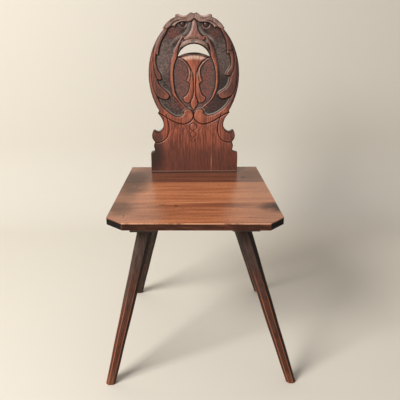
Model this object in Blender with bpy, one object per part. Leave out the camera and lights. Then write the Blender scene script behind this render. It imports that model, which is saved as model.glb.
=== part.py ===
"""Plank chair: a three-board seat on two dovetailed battens, four splayed legs and a pierced back plank.

Metres, +Z up. The chair stands on z = 0 and faces -Y. Its origin lies on the floor, midway between its feet.
"""

import math

import bmesh
import bpy
from mathutils import Vector

# Clearance between pieces that touch, and how far a cutter runs past what it cuts
FIT_GAP = 0.0003
CUT_MARGIN = 0.005

# Seat: three boards glued edge to edge, narrower behind, with both front corners cut off by eye,
# so that the front edge runs a little out of square
SEAT_HEIGHT = 0.450
SEAT_THICKNESS = 0.018
SEAT_DEPTH = 0.394
SEAT_REAR_WIDTH = 0.367
FRONT_CORNER_OUT = {"left": 0.1705, "right": 0.1760}
FRONT_CORNER_BACK = {"left": 0.0055, "right": 0.0}
SIDE_CORNER_OUT = {"left": 0.2110, "right": 0.2120}
SIDE_CORNER_BACK = {"left": 0.0400, "right": 0.0355}
FRONT_BOARD_DEPTH = 0.126
REAR_BOARD_DEPTH = 0.127

# The middle of the seat from the middle of the feet: the chair's legs lean a little to the right
SEAT_OFFSET_X = -0.0135
SEAT_OFFSET_Y = -0.0095

# Back plank: lean, place, and the tenons that pass through the seat and the battens
BACK_LEAN = math.radians(4.0)
BACK_THICKNESS = 0.026
BACK_SETBACK = 0.045
BACK_TENON_WIDTH = 0.040
BACK_TENON_SHOULDER = 0.015
BACK_TENON_BELOW = 0.026

# Back plank outline, from the seat up: base, cove, bead, scroll, neck, oval
BASE_HALF_WIDTH = 0.1235
BASE_HEIGHT = 0.0555
COVE_HEIGHT = 0.009
BEAD_HALF_WIDTH = 0.110
BEAD_HEIGHT = 0.023
BEAD_REACH = 0.0026
SCROLL_HEIGHT = 0.035
SCROLL_REACH = 0.0071
SCROLL_UNDERCUT = 0.002
NECK_HALF_WIDTH = 0.0840
NECK_HEIGHT = 0.0495
SPIKE_REACH = 0.0042
SPIKE_HEIGHT = 0.003
NECK_OFFSET_X = -0.0019
OVAL_HALF_WIDTH = 0.124
OVAL_HALF_HEIGHT = 0.158
OVAL_BELOW_CENTRE = 0.100
OVAL_ABOVE_CENTRE = 0.121

# Hand hole: a crescent between two arcs that meet at its tips
HOLE_HALF_WIDTH = 0.0435
HOLE_TIPS_ABOVE_CENTRE = 0.048
HOLE_CROWN_RISE = 0.034
HOLE_SILL_RISE = 0.011

# Battens: they run from front to back under the boards, nearer together behind
BATTEN_DROP = 0.022
BATTEN_CHEEK = 0.013
BATTEN_FRONT_SPREAD = 0.1245
BATTEN_FRONT_SETBACK = 0.040
BATTEN_REAR_SETBACK = 0.006
RIDGE_HEIGHT = 0.008
RIDGE_SHOULDER = 0.009
RIDGE_FLARE = 0.004

# Legs: eight-sided, tapering to the floor, with a round tenon through the batten
LEG_ACROSS_TOP = 0.038
LEG_ACROSS_FOOT = 0.0245
LEG_FACE_SHARE = 0.5
LEG_TENON = 0.025
LEG_TENON_SIDES = 16
LEG_FRONT_INSET = 0.036
LEG_REAR_INSET = 0.0475
LEG_INWARD = {"front_left": 0.0071, "front_right": 0.0126, "rear_left": 0.0082, "rear_right": 0.0097}
FEET = {
    "front_left": (-0.2345, -0.2175),
    "front_right": (0.2350, -0.2175),
    "rear_left": (-0.1990, 0.2175),
    "rear_right": (0.1975, 0.2175),
}

# Wedges in the split leg tenons, and the keys under the battens that hold the back down
WEDGE_DEPTH = 0.018
WEDGE_THICKNESS = 0.004
WEDGE_TIP = 0.001
WEDGE_END_COVER = 0.0015
KEY_LENGTH = 0.082
KEY_THICKNESS = 0.010
KEY_HEIGHT_THICK_END = 0.014
KEY_HEIGHT_THIN_END = 0.010
KEY_RELIEF = 0.003

# Values that follow from the ones above, with s measured back from the seat's front edge
SEAT_UNDERSIDE = SEAT_HEIGHT - SEAT_THICKNESS
BATTEN_TOP = SEAT_UNDERSIDE - FIT_GAP
BATTEN_UNDERSIDE = BATTEN_TOP - BATTEN_DROP
BATTEN_WIDTH = BACK_TENON_WIDTH + 2 * BATTEN_CHEEK
RIDGE_TOP = SEAT_UNDERSIDE + RIDGE_HEIGHT
RIDGE_NECK = BATTEN_WIDTH - 2 * RIDGE_SHOULDER
BACK_S = SEAT_DEPTH - BACK_SETBACK
BACK_TENON_OUTER = BASE_HALF_WIDTH - BACK_TENON_SHOULDER
BACK_TENON_INNER = BACK_TENON_OUTER - BACK_TENON_WIDTH
BACK_TENON_SPREAD = (BACK_TENON_OUTER + BACK_TENON_INNER) / 2
BACK_TENON_LENGTH = (SEAT_HEIGHT - BATTEN_UNDERSIDE + BACK_TENON_BELOW) / math.cos(BACK_LEAN)
LEG_SHOULDER = BATTEN_UNDERSIDE - FIT_GAP
OVAL_CENTRE = (
    BASE_HEIGHT + COVE_HEIGHT + BEAD_HEIGHT + SCROLL_HEIGHT + NECK_HEIGHT + SPIKE_HEIGHT + OVAL_BELOW_CENTRE
)


def clear_scene():
    for obj in list(bpy.data.objects):
        bpy.data.objects.remove(obj, do_unlink=True)


def wood(name, colour, roughness):
    """A plain wood material of one colour, given in linear values."""
    material = bpy.data.materials.new(name)
    material.use_nodes = True
    shader = material.node_tree.nodes["Principled BSDF"]
    shader.inputs["Base Color"].default_value = (*colour, 1.0)
    shader.inputs["Roughness"].default_value = roughness
    shader.inputs["Metallic"].default_value = 0.0
    return material


def add_object(name, shape, material, parent=None, location=(0, 0, 0), rotation=(0, 0, 0)):
    """The solid held in a bmesh, as a named object with its material."""
    bmesh.ops.recalc_face_normals(shape, faces=shape.faces)
    mesh = bpy.data.meshes.new(name)
    shape.to_mesh(mesh)
    shape.free()
    if material:
        mesh.materials.append(material)
    obj = bpy.data.objects.new(name, mesh)
    bpy.context.scene.collection.objects.link(obj)
    obj.parent = parent
    obj.location = location
    obj.rotation_euler = rotation
    return obj


def add_cutter(name, shape, parent=None, location=(0, 0, 0), rotation=(0, 0, 0)):
    """A helper solid that only cuts others."""
    obj = add_object(name, shape, None, parent, location, rotation)
    obj.hide_render = True
    obj.display_type = "WIRE"
    return obj


def cut(obj, cutters):
    for cutter in cutters:
        modifier = obj.modifiers.new(f"cut_{cutter.name}", "BOOLEAN")
        modifier.operation = "DIFFERENCE"
        modifier.solver = "EXACT"
        modifier.object = cutter


def join(obj, addition):
    modifier = obj.modifiers.new(f"join_{addition.name}", "BOOLEAN")
    modifier.operation = "UNION"
    modifier.solver = "EXACT"
    modifier.object = addition


def extruded(outline, direction):
    """A solid made by drawing the outline's points as one face and extruding it along a direction."""
    shape = bmesh.new()
    face = shape.faces.new([shape.verts.new(point) for point in outline])
    grown = bmesh.ops.extrude_face_region(shape, geom=[face])
    moved = [item for item in grown["geom"] if isinstance(item, bmesh.types.BMVert)]
    bmesh.ops.translate(shape, verts=moved, vec=direction)
    return shape


def box(low, high):
    corners = [(low[0], low[1]), (high[0], low[1]), (high[0], high[1]), (low[0], high[1])]
    return extruded([(x, y, low[2]) for x, y in corners], (0, 0, high[2] - low[2]))


def smooth(points, steps=3):
    """Points on a smooth curve through the given ones, from the first to the last."""
    points = [Vector(point) for point in points]
    before = 2 * points[0] - points[1]
    after = 2 * points[-1] - points[-2]
    padded = [before, *points, after]
    curve = [points[0]]
    for a, b, c, d in zip(padded, padded[1:], padded[2:], padded[3:]):
        for step in range(1, steps + 1):
            t = step / steps
            curve.append(
                0.5 * (2 * b + (c - a) * t + (2 * a - 5 * b + 4 * c - d) * t**2 + (3 * b - a - 3 * c + d) * t**3)
            )
    return curve


def arc(half_width, foot, rise, steps=10):
    """Points along a circular arc that rises from (-half_width, foot) and comes down at (half_width, foot)."""
    radius = (half_width**2 + rise**2) / (2 * rise)
    reach = math.atan2(half_width, radius - rise)
    centre = foot + rise - radius
    angles = [reach * (2 * step / steps - 1) for step in range(steps + 1)]
    return [Vector((radius * math.sin(angle), centre + radius * math.cos(angle))) for angle in angles]


# Seat

def seat_half_width(side, s):
    """From the seat's middle to its side edge, behind the cut-off corner."""
    share = (s - SIDE_CORNER_BACK[side]) / (SEAT_DEPTH - SIDE_CORNER_BACK[side])
    return SIDE_CORNER_OUT[side] + share * (SEAT_REAR_WIDTH / 2 - SIDE_CORNER_OUT[side])


def board_side(side, s_front, s_rear):
    """One end of a board, from front to rear: distances from the seat's middle and behind its front edge."""
    points = [(seat_half_width(side, s_rear), s_rear)]
    if s_front > 0:
        return [(seat_half_width(side, s_front), s_front), *points]
    front_corner = (FRONT_CORNER_OUT[side], FRONT_CORNER_BACK[side])
    side_corner = (SIDE_CORNER_OUT[side], SIDE_CORNER_BACK[side])
    return [front_corner, side_corner, *points]


def seat_board(name, s_front, s_rear, material, frame):
    """One board of the seat, between two distances behind the seat's front edge."""
    right = board_side("right", s_front, s_rear)
    left = [(-x, s) for x, s in reversed(board_side("left", s_front, s_rear))]
    outline = [(x, s - SEAT_DEPTH / 2, -SEAT_THICKNESS) for x, s in right + left]
    return add_object(name, extruded(outline, (0, 0, SEAT_THICKNESS)), material, frame)


def seat_boards(frame, material):
    joints = [0, FRONT_BOARD_DEPTH, SEAT_DEPTH - REAR_BOARD_DEPTH, SEAT_DEPTH]
    boards = []
    for place, name in enumerate(("seat_board_front", "seat_board_middle", "seat_board_rear")):
        front = joints[place] + (FIT_GAP / 2 if place > 0 else 0)
        rear = joints[place + 1] - (FIT_GAP / 2 if place < 2 else 0)
        boards.append(seat_board(name, front, rear, material, frame))
    return boards


# Battens

def batten_slope():
    """How far the batten's axis moves inward for each metre toward the rear."""
    tenon_s = BACK_S + BACK_THICKNESS / 2
    return (BATTEN_FRONT_SPREAD - BACK_TENON_SPREAD) / (tenon_s - BATTEN_FRONT_SETBACK)


def batten_axis_x(s):
    return BATTEN_FRONT_SPREAD - batten_slope() * (s - BATTEN_FRONT_SETBACK)


def batten_place(side):
    """Location and rotation of a batten's front end, in the seat's frame."""
    location = (side * BATTEN_FRONT_SPREAD, BATTEN_FRONT_SETBACK - SEAT_DEPTH / 2, BATTEN_TOP - SEAT_HEIGHT)
    return location, (0, 0, side * math.atan(batten_slope()))


def batten_length():
    run = SEAT_DEPTH - BATTEN_REAR_SETBACK - BATTEN_FRONT_SETBACK
    return run * math.hypot(1, batten_slope())


def batten_shape(side):
    """The batten's section, a board with a dovetail ridge, extruded along its length. Its ends are cut square
    to the seat, not to the batten's own slanting line."""
    ridge = RIDGE_TOP - BATTEN_TOP
    slant = -side * batten_slope()
    right = [
        (BATTEN_WIDTH / 2, -BATTEN_DROP),
        (BATTEN_WIDTH / 2, 0),
        (RIDGE_NECK / 2, 0),
        (RIDGE_NECK / 2 + RIDGE_FLARE, ridge),
    ]
    section = right + [(-x, z) for x, z in reversed(right)]
    return extruded([(x, slant * x, z) for x, z in section], (0, batten_length(), 0))


def groove_shape(side):
    """What the ridge needs cut from the boards: its own section and the fit gap, open to the rear edge."""
    ridge = RIDGE_TOP - BATTEN_TOP
    slant = -side * batten_slope()
    front = -FIT_GAP * math.hypot(1, slant)
    right = [
        (RIDGE_NECK / 2 + FIT_GAP, -CUT_MARGIN),
        (RIDGE_NECK / 2 + FIT_GAP, 0),
        (RIDGE_NECK / 2 + RIDGE_FLARE + FIT_GAP, ridge + FIT_GAP),
    ]
    section = right + [(-x, z) for x, z in reversed(right)]
    length = batten_length() + FIT_GAP + BATTEN_REAR_SETBACK + RIDGE_NECK
    return extruded([(x, slant * x + front, z) for x, z in section], (0, length, 0))


# Legs

def octagon():
    """An eight-sided outline one unit across, with wide main faces and narrower corner faces."""
    face = LEG_FACE_SHARE / 2
    quarter = [(0.5, -face), (0.5, face)]
    turns = [(1, 0), (0, 1), (-1, 0), (0, -1)]
    return [(c * x - s * y, s * x + c * y) for c, s in turns for x, y in quarter]


def round_outline():
    """A many-sided outline one unit across."""
    angles = [2 * math.pi * step / LEG_TENON_SIDES for step in range(LEG_TENON_SIDES)]
    return [(0.5 * math.cos(angle), 0.5 * math.sin(angle)) for angle in angles]


class LegLine:
    """The line of one leg, from its foot on the floor to the top of its tenon."""

    def __init__(self, corner):
        side = -1 if corner.endswith("left") else 1
        if corner.startswith("front"):
            s = BATTEN_FRONT_SETBACK + LEG_FRONT_INSET
        else:
            s = BACK_S - LEG_REAR_INSET
        self.foot = Vector((*FEET[corner], 0))
        self.top = Vector((
            SEAT_OFFSET_X + side * (batten_axis_x(s) - LEG_INWARD[corner]),
            SEAT_OFFSET_Y + s - SEAT_DEPTH / 2,
            RIDGE_TOP,
        ))

    def offset(self, height):
        """How far the leg's middle has moved from over its foot at this height."""
        return (self.top - self.foot).xy * (height / RIDGE_TOP)

    def stick(self, outline, low, high, across_low, across_high):
        """A solid along the leg's line between two heights, relative to the foot, cut level at both ends."""
        shape = extruded([(x, y, low) for x, y in outline], (0, 0, high - low))
        for vert in shape.verts:
            share = (vert.co.z - low) / (high - low)
            across = across_low + share * (across_high - across_low)
            vert.co.xy = vert.co.xy * across + self.offset(vert.co.z)
        return shape

    def wedge(self, grow, top):
        """The tenon's wedge, wide across the batten and tapering downward, grown on every side."""
        half_width = LEG_TENON / 2 - WEDGE_END_COVER + grow
        tip = RIDGE_TOP - WEDGE_DEPTH
        corners = [(-half_width, -1), (half_width, -1), (half_width, 1), (-half_width, 1)]
        shape = extruded([(x, y, tip - grow) for x, y in corners], (0, 0, top - tip + grow))
        for vert in shape.verts:
            share = (vert.co.z - tip) / WEDGE_DEPTH
            half_thickness = (WEDGE_TIP + share * (WEDGE_THICKNESS - WEDGE_TIP)) / 2 + grow
            vert.co.y *= half_thickness
            vert.co.xy += self.offset(vert.co.z)
        return shape


def leg(corner, material):
    """A leg with its tenon, split for the wedge."""
    line = LegLine(corner)
    obj = add_object(
        f"leg_{corner}",
        line.stick(octagon(), 0, LEG_SHOULDER, LEG_ACROSS_FOOT, LEG_ACROSS_TOP),
        material,
        location=line.foot,
    )
    tenon = line.stick(round_outline(), LEG_SHOULDER - CUT_MARGIN, RIDGE_TOP, LEG_TENON, LEG_TENON)
    join(obj, add_cutter(f"tenon_{corner}", tenon, location=line.foot))
    slot = line.wedge(FIT_GAP, RIDGE_TOP + CUT_MARGIN)
    cut(obj, [add_cutter(f"wedge_slot_{corner}", slot, location=line.foot)])
    return obj


def leg_wedge(corner, material):
    line = LegLine(corner)
    return add_object(f"leg_wedge_{corner}", line.wedge(0, RIDGE_TOP), material, location=line.foot)


def leg_mortise(corner):
    """What a leg's tenon needs cut from its batten."""
    line = LegLine(corner)
    wide = LEG_TENON + 2 * FIT_GAP
    shape = line.stick(round_outline(), BATTEN_UNDERSIDE - CUT_MARGIN, RIDGE_TOP + CUT_MARGIN, wide, wide)
    return add_cutter(f"mortise_{corner}", shape, location=line.foot)


# Back plank, drawn in its own plane: x across, z up the plank from the seat, front face at y = 0

def oval_width_at(above_centre):
    return OVAL_HALF_WIDTH * math.sqrt(1 - (above_centre / OVAL_HALF_HEIGHT) ** 2)


def oval_edge(low, high, steps=16):
    """The right edge of the oval between two heights measured from its centre."""
    first = math.asin(low / OVAL_HALF_HEIGHT)
    last = math.asin(high / OVAL_HALF_HEIGHT)
    angles = [first + (last - first) * step / steps for step in range(steps + 1)]
    return [
        Vector((OVAL_HALF_WIDTH * math.cos(angle), OVAL_CENTRE + OVAL_HALF_HEIGHT * math.sin(angle)))
        for angle in angles
    ]


def cove_and_bead():
    """The small moulding above the base: a hollow, then a rounded bead that ends under the scroll."""
    foot = BASE_HEIGHT + COVE_HEIGHT
    step = BASE_HALF_WIDTH - BEAD_HALF_WIDTH
    hollow = [(1.0, 0.0), (0.32, 0.36), (0.05, 0.78), (0.0, 1.0)]
    cove = [(BEAD_HALF_WIDTH + out * step, BASE_HEIGHT + rise * COVE_HEIGHT) for out, rise in hollow]
    swell = [(0.0, 0.0), (0.42, 0.26), (1.0, 0.56), (0.42, 0.83)]
    bead = [(BEAD_HALF_WIDTH + out * BEAD_REACH, foot + rise * BEAD_HEIGHT) for out, rise in swell]
    bead.append((BEAD_HALF_WIDTH - SCROLL_UNDERCUT, foot + BEAD_HEIGHT))
    return smooth(cove) + smooth(bead)[1:]


def scroll_and_neck():
    """The C-scroll above the bead, its hollow, the neck and the small spike below the oval."""
    foot = BASE_HEIGHT + COVE_HEIGHT + BEAD_HEIGHT
    tip = foot + SCROLL_HEIGHT
    spike = tip + NECK_HEIGHT
    swell = [(0.25, 0.13), (0.85, 0.33), (1.0, 0.59), (0.76, 0.82), (0.34, 0.93)]
    scroll = [(BEAD_HALF_WIDTH - SCROLL_UNDERCUT, foot)]
    for out, rise in swell:
        scroll.append((BEAD_HALF_WIDTH + out * SCROLL_REACH, foot + rise * SCROLL_HEIGHT))
    width = BEAD_HALF_WIDTH - NECK_HALF_WIDTH
    dip = [(0.97, -0.052), (0.80, -0.10), (0.58, -0.125), (0.33, -0.06), (0.11, 0.075)]
    rise_to_spike = [(0.0, 0.27), (0.04, 0.495), (0.23, 0.72), (0.49, 0.90)]
    hollow = [(NECK_HALF_WIDTH + out * width, tip + rise * NECK_HEIGHT) for out, rise in dip + rise_to_spike]
    spike_tip = (oval_width_at(-OVAL_BELOW_CENTRE) + SPIKE_REACH, spike)
    return smooth([*scroll, *hollow, spike_tip])[1:]


def crest():
    """The brow's end, the horn and the two middle bumps, in shares of the oval's half axes."""
    brow = [(0.668, 0.778), (0.648, 0.796), (0.617, 0.829), (0.566, 0.873), (0.476, 0.927), (0.389, 0.960)]
    horn = [(0.389, 0.960), (0.392, 0.979), (0.379, 0.996), (0.347, 1.005), (0.306, 0.994), (0.230, 0.975)]
    saddle = [(0.230, 0.975), (0.155, 0.981), (0.110, 1.006), (0.064, 1.027)]
    middle = [(0.064, 1.027), (0.022, 1.018), (0.0, 1.005)]
    shares = smooth(brow) + smooth(horn)[1:] + smooth(saddle + middle[1:])[1:]
    return [Vector((x * OVAL_HALF_WIDTH, OVAL_CENTRE + z * OVAL_HALF_HEIGHT)) for x, z in shares]


def half_outline():
    """The plank's right edge, from the foot of its tenon to the middle of its crest."""
    foot = [
        (BACK_TENON_INNER, 0),
        (BACK_TENON_INNER, -BACK_TENON_LENGTH),
        (BACK_TENON_OUTER, -BACK_TENON_LENGTH),
        (BACK_TENON_OUTER, 0),
        (BASE_HALF_WIDTH, 0),
    ]
    oval = oval_edge(-OVAL_BELOW_CENTRE, OVAL_ABOVE_CENTRE)
    return [Vector(point) for point in foot] + cove_and_bead() + scroll_and_neck() + oval + crest()


def hand_offset(z):
    """The moulding, the scrolls and the neck stand a little to the left of the base and the oval."""
    oval_foot = OVAL_CENTRE - OVAL_BELOW_CENTRE - SPIKE_HEIGHT
    return NECK_OFFSET_X if BASE_HEIGHT + FIT_GAP < z < oval_foot - FIT_GAP else 0.0


def hand_hole():
    foot = OVAL_CENTRE + HOLE_TIPS_ABOVE_CENTRE
    crown = arc(HOLE_HALF_WIDTH, foot, HOLE_CROWN_RISE, 20)
    sill = arc(HOLE_HALF_WIDTH, foot, HOLE_SILL_RISE, 12)
    ring = crown + list(reversed(sill[1:-1]))
    depth = BACK_THICKNESS + 2 * CUT_MARGIN
    return extruded([(x, -CUT_MARGIN, z) for x, z in ring], (0, depth, 0))


def back_place():
    """Location and rotation of the back plank's frame, in the seat's frame."""
    return (0, BACK_S - SEAT_DEPTH / 2, FIT_GAP), (-BACK_LEAN, 0, 0)


def back_plank(frame, material):
    right = half_outline()
    left = [Vector((-x, z)) for x, z in reversed(right) if x > 0]
    ring = [(x + hand_offset(z), 0, z) for x, z in right + left]
    shape = extruded(ring, (0, BACK_THICKNESS, 0))
    for vert in shape.verts:
        at_shoulder = abs(vert.co.z) < FIT_GAP
        if at_shoulder and vert.co.y > 0:
            # The shoulders are cut to the lean, so that they sit flat on the seat
            vert.co.z = BACK_THICKNESS * math.tan(BACK_LEAN)
    location, rotation = back_place()
    plank = add_object("back_plank", shape, material, frame, location, rotation)
    cut(plank, [add_cutter("hand_hole", hand_hole(), frame, location, rotation)])
    return plank


def back_mortises(frame):
    """What the back's tenons need cut from the rear board and the battens."""
    location, rotation = back_place()
    cutters = []
    for name, side in (("left", -1), ("right", 1)):
        ends = sorted((side * BACK_TENON_INNER, side * BACK_TENON_OUTER))
        low = (ends[0] - FIT_GAP, -FIT_GAP, -BACK_TENON_LENGTH - CUT_MARGIN)
        high = (ends[1] + FIT_GAP, BACK_THICKNESS + FIT_GAP, CUT_MARGIN)
        cutters.append(add_cutter(f"back_mortise_{name}", box(low, high), frame, location, rotation))
    return cutters


def key_shape(grow, top):
    """A wedge key that lies across the batten, level above and sloping below, grown on every side."""
    half_length = KEY_LENGTH / 2 + grow
    profile = [
        (-half_length, top),
        (-half_length, -KEY_HEIGHT_THIN_END - grow),
        (half_length, -KEY_HEIGHT_THICK_END - grow),
        (half_length, top),
    ]
    thickness = KEY_THICKNESS + 2 * grow
    return extruded([(x, -thickness / 2, z) for x, z in profile], (0, thickness, 0))


def key_place(side):
    """Middle of a key's upper face, under the batten and through the middle of the tenon there."""
    below = SEAT_HEIGHT - BATTEN_UNDERSIDE + FIT_GAP
    middle = BACK_THICKNESS / (2 * math.cos(BACK_LEAN)) - below * math.tan(BACK_LEAN)
    turned = math.pi if side < 0 else 0
    return (side * BACK_TENON_SPREAD, BACK_S - SEAT_DEPTH / 2 + middle, -below), (0, 0, turned)


def main():
    clear_scene()
    seat_wood = wood("polished_seat_wood", (0.38, 0.15, 0.06), 0.35)
    batten_wood = wood("dark_batten_wood", (0.07, 0.035, 0.02), 0.5)
    leg_wood = wood("dark_leg_wood", (0.06, 0.03, 0.02), 0.45)
    wedge_wood = wood("pale_wedge_wood", (0.30, 0.16, 0.08), 0.6)
    back_wood = wood("carved_back_wood", (0.22, 0.08, 0.045), 0.4)

    seat = bpy.data.objects.new("seat_frame", None)
    seat.location = (SEAT_OFFSET_X, SEAT_OFFSET_Y, SEAT_HEIGHT)
    bpy.context.scene.collection.objects.link(seat)

    mortises = {corner: leg_mortise(corner) for corner in FEET}
    back_holes = back_mortises(seat)
    grooves = []
    for place, (name, side) in enumerate((("left", -1), ("right", 1))):
        location, rotation = batten_place(side)
        batten = add_object(f"batten_{name}", batten_shape(side), batten_wood, seat, location, rotation)
        cut(batten, [mortises[f"front_{name}"], mortises[f"rear_{name}"], back_holes[place]])
        grooves.append(add_cutter(f"groove_{name}", groove_shape(side), seat, location, rotation))

    boards = seat_boards(seat, seat_wood)
    for board in boards:
        cut(board, grooves)
    cut(boards[-1], back_holes)

    for corner in FEET:
        leg(corner, leg_wood)
        leg_wedge(corner, wedge_wood)

    plank = back_plank(seat, back_wood)
    for name, side in (("left", -1), ("right", 1)):
        location, rotation = key_place(side)
        add_object(f"back_key_{name}", key_shape(0, 0), wedge_wood, seat, location, rotation)
        hole = add_cutter(f"key_hole_{name}", key_shape(FIT_GAP, KEY_RELIEF), seat, location, rotation)
        cut(plank, [hole])


main()
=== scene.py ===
# %% [markdown]
# # An old plank chair, finished in Blender
# The imported model brings every piece of the chair at its real size: three seat boards, two battens, four
# legs, a back plank and the wedges that hold them. This lesson gives those pieces what a chair gets from
# its maker and its years of use: eased edges, a carved back, polish, dirt in the hollows and bare crests,
# and adds painted light and shade: painted shade in the hollows and on shaded sides, and painted
# highlights and reflections.
# Nothing is moved, so every dressed piece stands exactly where its plain solid stands.

import math

import bmesh
import bpy
import numpy as np
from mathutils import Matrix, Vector


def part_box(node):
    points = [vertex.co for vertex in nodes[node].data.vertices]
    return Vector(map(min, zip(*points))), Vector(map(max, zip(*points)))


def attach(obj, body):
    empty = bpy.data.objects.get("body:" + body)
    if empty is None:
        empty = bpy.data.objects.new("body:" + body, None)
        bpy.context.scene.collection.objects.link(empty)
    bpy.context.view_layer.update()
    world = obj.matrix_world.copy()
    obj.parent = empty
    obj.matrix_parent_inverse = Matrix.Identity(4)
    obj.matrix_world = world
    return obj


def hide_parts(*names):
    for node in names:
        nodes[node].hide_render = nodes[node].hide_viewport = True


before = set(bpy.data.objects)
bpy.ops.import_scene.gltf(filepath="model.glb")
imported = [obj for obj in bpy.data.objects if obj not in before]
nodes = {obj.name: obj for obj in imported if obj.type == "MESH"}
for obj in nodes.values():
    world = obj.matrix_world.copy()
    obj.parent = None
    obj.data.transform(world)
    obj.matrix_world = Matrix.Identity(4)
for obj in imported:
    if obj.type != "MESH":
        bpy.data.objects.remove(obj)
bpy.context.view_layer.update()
print("pieces in the frame:", len(nodes))

# %% [markdown]
# ## The camera
# The chair is seen from the front at standing height, a little from its left. Its place was worked out once
# from the way the seat and the feet appear, so the dressed chair can be compared with the real one.

# %% Place the camera
CAMERA_PLACE = (-0.0183, -1.3545, 1.0005)
CAMERA_DOWN = math.radians(23.1)
CAMERA_TURN = math.radians(0.81)
CAMERA_LENS = 49.5
CAMERA_SENSOR = 36.0


def in_scene(name, data):
    """A new object of the scene, at the origin."""
    thing = bpy.data.objects.new(name, data)
    bpy.context.scene.collection.objects.link(thing)
    return thing


camera = in_scene("camera", bpy.data.cameras.new("camera"))
camera.data.lens = CAMERA_LENS
camera.data.sensor_width = CAMERA_SENSOR
camera.location = CAMERA_PLACE
camera.rotation_euler = (math.pi / 2 - CAMERA_DOWN, 0, -CAMERA_TURN)
bpy.context.scene.camera = camera
bpy.context.scene.view_settings.view_transform = "Standard"
print("camera height:", camera.location.z)

# %% [markdown]
# ## A way to write finishes
# A wood finish is a long sum of noises and masks. Wiring it node by node would hide what it says, so two
# small classes help: Value lets a shader value be used in a Python sum, and Finish adds any other node and
# lays colours over each other in coats, as a finisher does.

# %% Write shader sums as Python sums
class Value:
    """Something that changes over a surface. Sums on it add Math nodes."""

    def __init__(self, finish, socket):
        self.finish = finish
        self.socket = socket

    def math(self, operation, first, second):
        return self.finish.node("ShaderNodeMath", {"operation": operation}, {0: first, 1: second})

    def __add__(self, other):
        return self.math("ADD", self, other)

    def __sub__(self, other):
        return self.math("SUBTRACT", self, other)

    def __rsub__(self, other):
        return self.math("SUBTRACT", other, self)

    def __mul__(self, other):
        return self.math("MULTIPLY", self, other)

    __radd__ = __add__
    __rmul__ = __mul__


print("sums on shader values are ready")

# %% Write a finish as coats of colour
class Finish:
    """One material, and short ways to add the nodes that it needs."""

    def __init__(self, name):
        self.material = bpy.data.materials.new(name)
        self.material.use_nodes = True
        self.tree = self.material.node_tree
        self.shader = self.tree.nodes["Principled BSDF"]

    def feed(self, socket, value):
        if isinstance(value, Value):
            self.tree.links.new(value.socket, socket)
        else:
            socket.default_value = value

    def node(self, kind, settings, inputs, output=0):
        node = self.tree.nodes.new(kind)
        for name, value in settings.items():
            setattr(node, name, value)
        for key, value in inputs.items():
            self.feed(node.inputs[key], value)
        return Value(self, node.outputs[output])

    def put(self, name, value):
        self.feed(self.shader.inputs[name], value)

    def place(self):
        """The three coordinates of a point of the piece, in metres."""
        here = self.node("ShaderNodeTexCoord", {}, {}, "Object")
        return [self.node("ShaderNodeSeparateXYZ", {}, {0: here}, axis) for axis in "XYZ"]

    def noise(self, x, y, z, detail=2.0, roughness=0.5):
        """Clouds about one unit wide. Coordinates of different scales draw them out into streaks."""
        here = self.node("ShaderNodeCombineXYZ", {}, {0: x, 1: y, 2: z})
        inputs = {"Vector": here, "Scale": 1.0, "Detail": detail, "Roughness": roughness}
        return self.node("ShaderNodeTexNoise", {}, inputs, "Fac")

    def between(self, value, low, high):
        """0 where the value is low, 1 where it is high, and a soft step in between."""
        inputs = {"Value": value, "From Min": low, "From Max": high}
        return self.node("ShaderNodeMapRange", {"interpolation_type": "SMOOTHSTEP"}, inputs)

    def blend(self, first, second, share):
        """Two colours, mixed by a share from 0 to 1."""
        return self.node("ShaderNodeMix", {"data_type": "RGBA"}, {0: share, 6: first, 7: second}, 2)

    def coats(self, colour, *coats):
        """A colour under further coats, each of them a colour and its share from 0 to 1."""
        for coat, share in coats:
            colour = self.blend(colour, coat, share)
        return colour

    def spread(self, name):
        """A value that the mesh itself carries, such as how worn it is."""
        return self.node("ShaderNodeAttribute", {"attribute_name": name}, {}, "Fac")

    def spot(self, x, y, middle, reach, share):
        """The share in the middle of an oval patch, and 0 outside it."""
        across = (x - middle[0]) * (1 / reach[0])
        along = (y - middle[1]) * (1 / reach[1])
        return self.between(across * across + along * along, 1.0, 0.0) * share

    def bump(self, height, distance, strength):
        inputs = {"Height": height, "Distance": distance, "Strength": strength}
        self.put("Normal", self.node("ShaderNodeBump", {}, inputs))

    def cover(self, share, second):
        """Let a second shader take over a share of the surface."""
        shaders = {1: Value(self, self.shader.outputs[0]), 2: second}
        both = self.node("ShaderNodeMixShader", {}, {0: share, **shaders})
        self.tree.links.new(both.socket, self.tree.nodes["Material Output"].inputs["Surface"])

    def dull(self, share, specular, roughness):
        """Cover a share with a duller shader that has the same colour and the same bump."""
        inputs = {"Specular IOR Level": specular, "Roughness": roughness}
        for name in ("Base Color", "Normal"):
            inputs[name] = Value(self, self.shader.inputs[name].links[0].from_socket)
        self.cover(share, self.node("ShaderNodeBsdfPrincipled", {}, inputs))


def tone(red, green, blue):
    """A colour written as it looks on screen, from 0 to 255, in the linear values that shaders take."""
    shares = [channel / 255 for channel in (red, green, blue)]
    linear = [s / 12.92 if s <= 0.04045 else ((s + 0.055) / 1.055) ** 2.4 for s in shares]
    return (*linear, 1.0)


print("finish writer ready; the linear value of middle grey:", round(tone(128, 128, 128)[0], 3))

# %% [markdown]
# ## The stage
# A pale floor that sweeps up into a pale wall, as in a studio, keeps the soft shadow and gives the polish
# something light to reflect. The sweep is a short profile line, extruded sideways. Its back lets the view
# through, so that the chair can also be looked at from behind the wall.

# %% Build the floor and the wall
FLOOR_FRONT = -5.0
WALL_PLACE = 0.95
WALL_HEIGHT = 4.0
SWEEP_RADIUS = 0.30
STAGE_HALF_WIDTH = 4.0
SWEEP_STEPS = 12
PLASTER = tone(223, 218, 209)
PLASTER_ROUGHNESS = 0.9


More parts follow.
